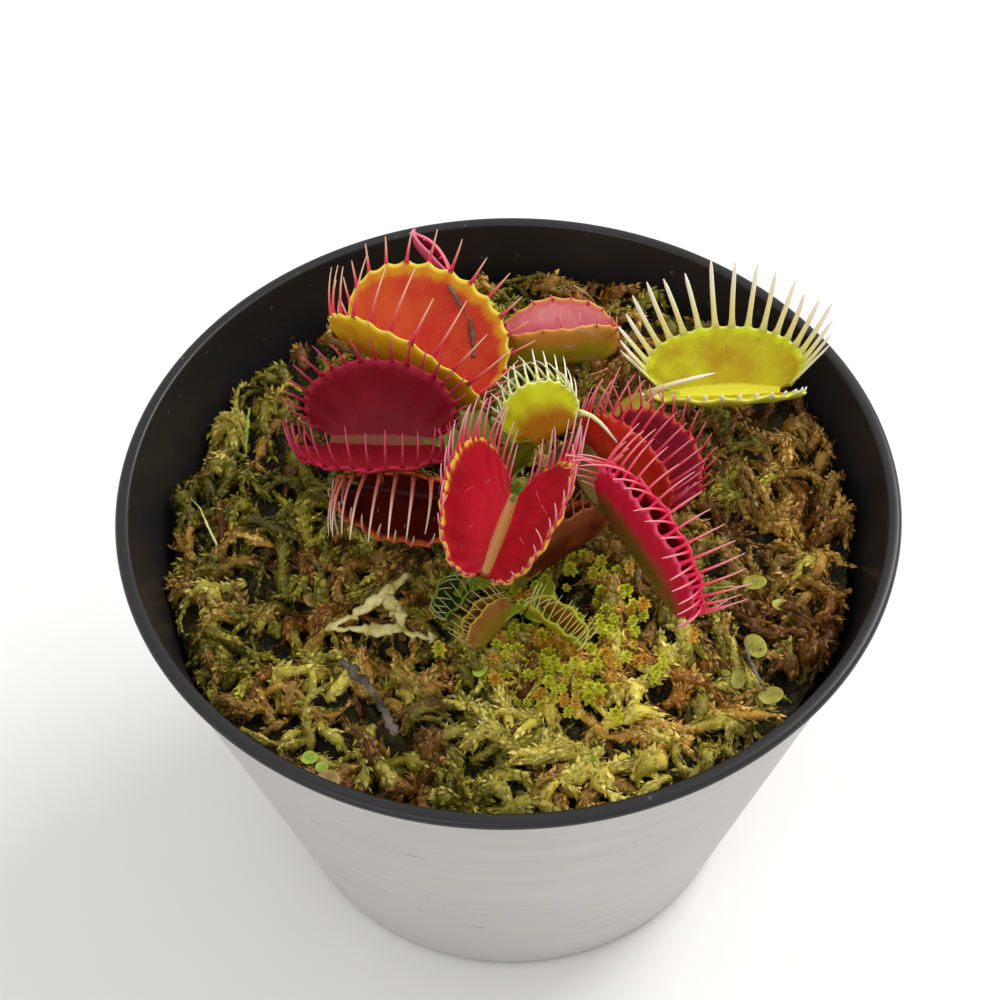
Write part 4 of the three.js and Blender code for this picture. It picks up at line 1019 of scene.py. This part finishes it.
def trap_skin_group():
    """The colours and relief of a living trap, from where each point lies on the leaf."""
    group, nodes, given = new_group("trap_skin", TRAP_COLOURS, ("Margin start", "Fold width", "Back edge"))
    across, along, inner, spine, stalk, ray = (
        nodes.attribute(name) for name in ("across", "along", "inner", "spine", "stalk", "ray"))
    cloud = nodes.noise(190.0, 3.0, 0.6)
    fine = nodes.noise(1400.0, 3.0, 0.6)
    blotches = nodes.noise(330.0, 2.0, 0.5)
    scales = ((along, 110.0), (across, 5.0), (inner, 3.0))
    lane = [nodes.maths("MULTIPLY", value, scale) for value, scale in scales]
    fibre = nodes.noise(1.0, 3.0, 0.6, nodes.add("CombineXYZ", dict(enumerate(lane))).outputs[0])
    cells = nodes.add("TexVoronoi", {"Vector": nodes.place(), "Scale": 3300.0, "Randomness": 0.8})
    gland = nodes.step(cells.outputs["Distance"], 0.42, 0.18)

    # On most leaves the flush colour is a real flush of colour. On the scarlet and pink leaves it is a
    # painted sheen.
    flush_and_sheen = nodes.step(nodes.total(0.0, (cloud, 0.9), (along, 0.25)), 0.38, 0.8)
    face = nodes.mix(flush_and_sheen, given["Face"], given["Flush and sheen"])
    face = nodes.mix(nodes.step(fibre, 0.5, 0.75, 0.35), face, given["Flush and sheen"])
    face = nodes.mix(nodes.maths("MULTIPLY", gland, 0.3), face, given["Flush and sheen"])
    margin = nodes.mix(nodes.step(blotches, 0.48, 0.64, 0.4), given["Margin"], given["Flush and sheen"])
    ragged = nodes.total(nodes.roughen(across, (fibre, 0.12), (cloud, 0.16)), (ray, -0.02))
    band_low = nodes.maths("SUBTRACT", given["Margin start"], 0.05)
    band_high = nodes.maths("ADD", given["Margin start"], 0.06)
    face = nodes.mix(nodes.step(ragged, band_low, band_high), face, margin)
    fold_core = nodes.maths("MULTIPLY", given["Fold width"], 0.4)
    near_fold = nodes.step(nodes.roughen(across, (fine, 0.05)), given["Fold width"], fold_core)
    face = nodes.mix(near_fold, face, given["Fold"])

    edge_low = nodes.maths("SUBTRACT", given["Back edge"], 0.18)
    edge_high = nodes.maths("ADD", given["Back edge"], 0.18)
    near_rim = nodes.step(nodes.roughen(across, (cloud, 0.35)), edge_low, edge_high)
    back = nodes.mix(near_rim, given["Back"], given["Back near rim"])
    back = nodes.mix(nodes.step(fibre, 0.5, 0.8, 0.3), back, given["Margin"])
    back = nodes.mix(nodes.step(blotches, 0.5, 0.66, 0.35), back, given["Flush and sheen"])
    body = nodes.mix(inner, back, face)
    body = nodes.mix(nodes.step(across, 0.945, 0.99), body, given["Rim"])
    body = nodes.mix(nodes.step(fine, 0.6, 0.8, 0.08), body, given["Margin"])

    tooth = nodes.mix(nodes.step(spine, 0.12, 0.95), given["Tooth root"], given["Tooth tip"])
    body = nodes.mix(nodes.step(spine, 0.0, 0.06), body, tooth)
    green = nodes.mix(nodes.step(across, 0.55, 1.0), given["Stalk"], given["Margin"])
    green = nodes.mix(nodes.step(cloud, 0.5, 0.75, 0.35), given["Stalk"], green)
    green = nodes.mix(nodes.step(along, 0.22, 0.0), green, (0.42, 0.4, 0.2, 1))

    roughness = nodes.total(0.32, (fine, 0.22), (inner, 0.07))
    height = nodes.total(0.0, (fibre, 0.8), (nodes.maths("MULTIPLY", gland, inner), 0.35), (fine, 0.25))
    return finish_group(group, nodes.mix(stalk, body, green), roughness, height)


trap_skin = trap_skin_group()


def leaf_tissue(leaf):
    """One leaf's own colours in the shared trap skin."""
    values = {socket: hue(code) for socket, code in zip(TRAP_COLOURS, leaf["skin"])}
    values.update({"Margin start": leaf["margin_start"], "Fold width": leaf["fold_width"],
                   "Back edge": leaf["back_edge"]})
    return group_surface(
        leaf["name"] + "_tissue", trap_skin, values, bump=0.35, reach=0.00012, Subsurface_Weight=0.25,
        Subsurface_Radius=(1.0, 0.3, 0.15), Subsurface_Scale=0.0008, Specular_IOR_Level=0.2)


for order, leaf in enumerate(LEAVES):
    growth = Growth("across", "along", "inner", "spine", "stalk", "ray")
    axes = trap_frame(leaf)
    grow_lobes(growth, leaf, axes)
    grow_teeth(growth, leaf, axes, order)
    if leaf["depth"] > 6:
        grow_triggers(growth, leaf, axes)
    grow_stalk(growth, leaf, axes)
    made = growth.write(leaf["name"].replace("leaf_", "trap_"))
    finish_piece(made, leaf_tissue(leaf), leaf["slot"], leaf["name"])


# ---------------------------------------------------------------- star moss
# A cushion of small upright haircap moss in front of the crowns. Each shoot is a rosette of narrow
# pointed leaves, bright yellow-green in the middle and rusty where it is dying off.

STAR_CUSHION = {"x": 6.5, "y": -14.5, "spread_x": 8.0, "spread_y": 8.5}
STAR_SHOOTS = 200
STAR_SPACING = 0.85
STAR_SEED = 23
# Each tier: its place up the shoot, the tilt of its leaves in radians, their number and their size.
STAR_TIERS = [(0.7, 0.25, 6, 1.15), (0.86, 0.5, 7, 1.15), (1.0, 0.85, 6, 0.8), (1.04, 1.2, 4, 0.8)]


def star_leaf(growth, foot, way, up, length, tint):
    """A pointed leaf with a fold along it, bent a little outwards."""
    aside = np.cross(way, up)
    width = length * 0.66
    middle = foot + way * length * 0.55 + up * length * 0.14
    tip = foot + way * length + up * length * 0.04
    edges = [middle + aside * width / 2 * side + up * width * 0.2 for side in (1, -1)]
    faces = [(0, 3, 1), (0, 2, 3), (1, 3, 4), (3, 2, 4)]
    corners = [foot, *edges, middle - up * width * 0.12, tip]
    growth.put(corners, faces, tint=tint, tip=[0.0, 0.6, 0.6, 0.45, 1.0])


def plant_stars():
    random = np.random.default_rng(STAR_SEED)
    shoots = Growth("tint", "tip")
    spots = []
    while len(spots) < STAR_SHOOTS:
        x = STAR_CUSHION["x"] + random.normal(0, 0.48) * STAR_CUSHION["spread_x"]
        y = STAR_CUSHION["y"] + random.normal(0, 0.48) * STAR_CUSHION["spread_y"]
        crowded = any(math.hypot(x - u, y - v) < STAR_SPACING for u, v in spots)
        if crowded or 1.2 * patch_of(x, y, (8, -9), 5) > random.uniform(0.1, 1):
            continue
        spots.append((x, y))
        foot = np.array([x, y, float(moss_height(x, y)) - 1.2])
        stem = np.array([random.normal(0, 0.4), random.normal(0, 0.4), random.uniform(1.8, 4.4)])
        tint = random.uniform(0, 1)
        size = random.uniform(0.5, 0.95)
        for tier, (level, tilt, count, share) in enumerate(STAR_TIERS):
            for k in range(count):
                turn = 2 * math.pi * (k / count) + tier * 0.5 + random.normal(0, 0.15)
                out = np.array([math.cos(turn), math.sin(turn), 0.0])
                way = unit(out * math.cos(tilt) + np.array([0.0, 0.0, math.sin(tilt)]))
                up = np.array([0.0, 0.0, math.cos(tilt)]) - out * math.sin(tilt)
                star_leaf(shoots, foot + stem * level, way, up, size * share, tint)
    return shoots.write("star_moss")


def star_tissue():
    material, nodes = new_material("star_moss_tissue")
    tint, ends = nodes.attribute("tint"), nodes.attribute("tip")
    grain = nodes.noise(2500.0, 2.0, 0.5)
    # Painted shade: each leaf darkens towards its foot, down inside the rosette, in both the green and the
    # rusty colours.
    green = nodes.mix(ends, (0.30, 0.32, 0.01, 1), (0.96, 0.98, 0.04, 1))
    rusty = nodes.mix(ends, (0.40, 0.13, 0.01, 1), (0.98, 0.52, 0.04, 1))
    tone = nodes.mix(nodes.step(tint, 0.5, 0.8), green, rusty)
    tone = nodes.mix(nodes.maths("MULTIPLY", grain, 0.25), tone, (0.7, 0.66, 0.12, 1))
    surface(nodes, tone, nodes.total(0.25, (grain, 0.3)), grain, bump=0.3, reach=0.0001,
            Subsurface_Weight=0.2, Subsurface_Radius=(0.4, 0.5, 0.1), Subsurface_Scale=0.0008,
            Specular_IOR_Level=0.25)
    return material


finish_piece(plant_stars(), star_tissue(), "moss", "sphagnum_fill")


# ---------------------------------------------------------------- small growth
# What else has settled in the pot: round duckweed-like leaves, oval leaves of seedlings, a dead forked
# stem bleached pale yellow, a black twig and a few threads, all loose on the moss. A dead streak crosses
# the face of the largest trap.

LITTER_SEED = 5
FINISH_OF_GROWTH = {  # dark and light colour
    "fresh": ("#5f7c1e", "#b8d04a"),
    "faded": ("#7c6230", "#bca060"),
    "ripe": ("#6c6a1c", "#b4b04c"),
    "bleached": ("#a8982c", "#efe9a8"),
    "rotten": ("#1a1612", "#7a7262"),
    "scorched": ("#3c2418", "#7c5c48"),
}
ROUND_LEAVES = [  # x, y, width, length and finish
    (-21.7, -9.4, 1.9, 2.0, "fresh"), (-22.9, -8.4, 2.2, 2.4, "faded"), (-19.9, -33.2, 2.6, 2.8, "faded"),
    (-20.8, -31.2, 1.5, 1.6, "fresh"), (-22.2, -30.0, 1.9, 2.0, "fresh"), (-19.0, -31.6, 1.1, 1.2, "fresh"),
    (21.5, -8.8, 1.8, 2.1, "fresh"), (19.6, -6.9, 1.4, 1.6, "fresh"), (28.3, -8.6, 2.9, 2.4, "ripe"),
    (31.2, -11.9, 2.6, 1.9, "ripe"), (27.5, -18.1, 2.3, 4.0, "ripe"), (28.6, -24.7, 2.9, 2.5, "ripe"),
    (25.4, -21.5, 1.7, 3.2, "ripe"), (-3.4, -20.3, 1.8, 3.0, "fresh"), (8.8, -31.0, 1.3, 1.4, "fresh"),
]
THREADS = [  # points x, y and height over the moss, then thickness and finish
    ([(-21.0, -13.2, 1.6), (-17.5, -12.4, 2.4), (-13.6, -9.6, 3.0), (-11.6, -6.6, 2.6)], 1.7, "bleached"),
    ([(-20.6, -13.4, 1.6), (-16.0, -14.0, 2.2), (-12.0, -14.8, 2.4), (-8.6, -15.2, 1.6)], 1.8, "bleached"),
    ([(-13.8, -9.8, 3.0), (-13.0, -12.4, 2.7), (-12.4, -14.4, 2.4)], 1.9, "bleached"),
    ([(-19.0, -18.6, 1.8), (-16.4, -21.6, 2.6), (-14.4, -25.2, 2.6), (-12.6, -28.4, 1.4)], 1.35, "rotten"),
    ([(-38.5, 5.9, 1.6), (-36.6, 2.6, 2.6), (-34.3, -1.8, 1.4)], 0.32, "bleached"),
    ([(-32.1, 12.6, 0.8), (-32.0, 15.0, 2.8), (-31.6, 17.2, 4.2)], 0.5, "fresh"),
    ([(18.6, -9.6, 2.2), (23.0, -10.4, 2.8), (27.2, -9.6, 2.0)], 0.24, "faded"),
    ([(26.4, -17.6, 2.2), (26.7, -20.6, 2.8), (28.0, -24.2, 2.2)], 0.5, "rotten"),
    ([(13.2, 31.2, 1.6), (10.8, 34.0, 3.6), (8.8, 35.4, 4.6)], 0.3, "faded"),
]


def grow_round_leaf(growth, random, x, y, width, length):
    """A slightly cupped leaf with a thick edge, lying tilted on the moss."""
    ground = float(moss_height(x, y)) + 1.5
    turn = random.uniform(-0.6, 0.6)
    tilt = random.uniform(-0.3, 0.3)
    rings, sides = 6, 22
    share = np.linspace(0.08, 1, rings)[:, None]
    angle = np.linspace(0, 2 * math.pi, sides, endpoint=False)[None, :]
    notch = 1 - 0.10 * np.exp(-((angle - math.pi) / 0.35) ** 2)
    px, py = share * np.cos(angle) * notch * width / 2, share * np.sin(angle) * notch * length / 2
    cup = 0.10 * width * share ** 2 + 0 * angle
    flesh_depth = 0.12 * np.sqrt(1.02 - share ** 2)
    turned = []
    for height in (cup + flesh_depth, cup - flesh_depth):
        points = np.stack([px, py, height], -1).reshape(-1, 3)
        u = points[:, 0] * math.cos(turn) - points[:, 1] * math.sin(turn)
        v = points[:, 0] * math.sin(turn) + points[:, 1] * math.cos(turn)
        turned.append(np.stack([x + u, y + v, ground + points[:, 2] + tilt * u - 0.2 * v], -1))
    skin = rings * sides
    faces = []
    for face in band_faces(rings, sides):
        faces += [turned_over(face), tuple(skin + i for i in face)]
    rim = (rings - 1) * sides
    for i in range(sides):
        j = (i + 1) % sides
        faces.append((rim + i, skin + rim + i, skin + rim + j, rim + j))
    faces += [tuple(range(sides)), tuple(skin + i for i in range(sides))[::-1]]
    growth.put(np.vstack(turned), faces, tip=np.tile(np.repeat(share[:, 0], sides), 2))


def grow_thread(growth, random, corners, thickness, bed=moss_height):
    """A dry ribbon-like stem with an uneven, creased section."""
    corners = np.array(corners, float)
    corners[:, 2] += bed(corners[:, 0], corners[:, 1])
    marks = np.linspace(0, len(corners) - 1, 26)
    spots = np.stack([np.interp(marks, np.arange(len(corners)), corners[:, k]) for k in range(3)], -1)
    spots[1:-1] = (spots[:-2] + 2 * spots[1:-1] + spots[2:]) / 4
    spots += 0.10 * thickness * random.normal(0, 1, spots.shape)
    ahead = unit(np.gradient(spots, axis=0))
    aside = unit(np.cross(ahead, np.array([0.0, 0.1, 1.0])))
    up = np.cross(aside, ahead)
    sides = 9
    turns = 2 * np.pi * np.arange(sides) / sides
    uneven = 0.75 + 0.3 * np.sin(marks * 3.1 + thickness * 9) + 0.12 * random.normal(0, 1, len(marks))
    half = np.maximum(thickness / 2 * uneven, 0.18 * thickness)[:, None, None]
    crease = 1 - 0.25 * np.abs(np.sin(turns))[None, :, None]
    ring = aside[:, None] * np.cos(turns)[None, :, None] + up[:, None] * (0.5 * np.sin(turns))[None, :, None]
    points = spots[:, None] + ring * half * crease
    faces = cap_faces(len(marks), sides) + band_faces(len(marks), sides)
    growth.put(points, faces, tip=np.repeat(0.5 + 0.4 * np.sin(marks * 5.3), sides))


def scar_path(leaf):
    """Where a dead streak crosses the face of one lobe."""
    axes = trap_frame(leaf)
    t, v = np.array([0.52, 0.45, 0.40, 0.34, 0.29]), np.array([0.86, 0.76, 0.72, 0.60, 0.55])
    return lobe_point(leaf, axes, 1, t, v) + lobe_directions(leaf, axes, 1, t, v)[2] * 0.36


def small_growth_tissue(name, dark, light):
    material, nodes = new_material(name)
    blotch = nodes.noise(700.0, 3.0, 0.6)
    veins = nodes.noise(2200.0, 2.0, 0.5, nodes.stretched(1.0, 0.3, 1.0))
    share = nodes.total(nodes.step(blotch, 0.3, 0.7, 0.6), (nodes.attribute("tip"), 0.5), clamp=True)
    surface(nodes, nodes.mix(share, hue(dark), hue(light)), nodes.total(0.3, (veins, 0.3)),
            nodes.maths("ADD", veins, blotch), bump=0.5, reach=0.00012, Subsurface_Weight=0.15,
            Subsurface_Radius=(0.5, 0.5, 0.2), Subsurface_Scale=0.0006, Specular_IOR_Level=0.35)
    return material


random = np.random.default_rng(LITTER_SEED)
for finish, (dark, light) in FINISH_OF_GROWTH.items():
    growth = Growth("tip")
    for x, y, width, length, kind in ROUND_LEAVES:
        if kind == finish:
            grow_round_leaf(growth, random, x, y, width, length)
    for corners, thickness, kind in THREADS:
        if kind == finish:
            grow_thread(growth, random, corners, thickness)
    if finish == "scorched":
        grow_thread(growth, random, scar_path(LEAVES[0]), 0.7, bed=lambda x, y: 0)
    made = growth.write("litter_" + finish)
    slot, node = ("leaf_amber", LEAVES[0]["name"]) if finish == "scorched" else ("moss", "sphagnum_fill")
    finish_piece(made, small_growth_tissue(finish + "_litter", dark, light), slot, node)


# ---------------------------------------------------------------- table and light
# The pot stands on a white table in a bright room, with the window to the right and behind.

TABLE_HALF = 1.6  # metres, as all places in this section


def table_top():
    mesh = bpy.data.meshes.new("table_top")
    shape = bmesh.new()
    bmesh.ops.create_grid(shape, x_segments=4, y_segments=4, size=TABLE_HALF)
    shape.to_mesh(mesh)
    shape.free()
    table = placed("table_top", mesh)
    material, nodes = new_material("white_table")
    grain = nodes.noise(60.0)
    tone = nodes.mix(grain, (0.86, 0.85, 0.84, 1), (0.9, 0.89, 0.88, 1))
    surface(nodes, tone, nodes.total(0.55, (grain, 0.1)), grain, bump=0.02)
    table.data.materials.append(material)


def area_light(name, place, aim, size, power, colour):
    lamp = bpy.data.lights.new(name, "AREA")
    lamp.shape = "DISK"
    lamp.size = size
    lamp.energy = power
    lamp.color = colour
    light = placed(name, lamp)
    light.location = place
    light.rotation_euler = (Vector(aim) - Vector(place)).to_track_quat("-Z", "Y").to_euler()


table_top()
area_light("window", (0.75, 0.55, 0.95), (0, 0, 0.05), 0.7, 10.5, (1.0, 0.995, 0.985))
area_light("room_fill", (-0.5, -0.9, 1.0), (0, 0, 0.05), 1.0, 3.5, (1.0, 0.98, 0.95))
world = bpy.data.worlds.new("bright_room")
world.use_nodes = True
world.node_tree.nodes["Background"].inputs["Color"].default_value = (1.0, 0.995, 0.985, 1)
world.node_tree.nodes["Background"].inputs["Strength"].default_value = 0.74
bpy.context.scene.world = world
bpy.context.scene.view_settings.view_transform = "Standard"


# ---------------------------------------------------------------- camera
# A camera held about 22 cm from the middle of the lip, looking down on the pot from the front.

# The lens and its sensor are in millimetres.
CAMERA_PLACE = (0.0, -0.14318, 0.233485)
CAMERA_RIGHT = (0.99988, -0.00917, -0.01271)
CAMERA_UP = (0.01515, 0.77335, 0.63380)
SENSOR_WIDTH = 36.0
FOCAL_LENGTH = 69.88

lens = bpy.data.cameras.new("viewpoint")
lens.sensor_width = SENSOR_WIDTH
lens.lens = FOCAL_LENGTH
camera = placed("viewpoint", lens)
right, upward = Vector(CAMERA_RIGHT), Vector(CAMERA_UP)
turned = Matrix((right, upward, right.cross(upward))).transposed()
camera.matrix_world = Matrix.Translation(CAMERA_PLACE) @ turned.to_4x4()
bpy.context.scene.camera = camera
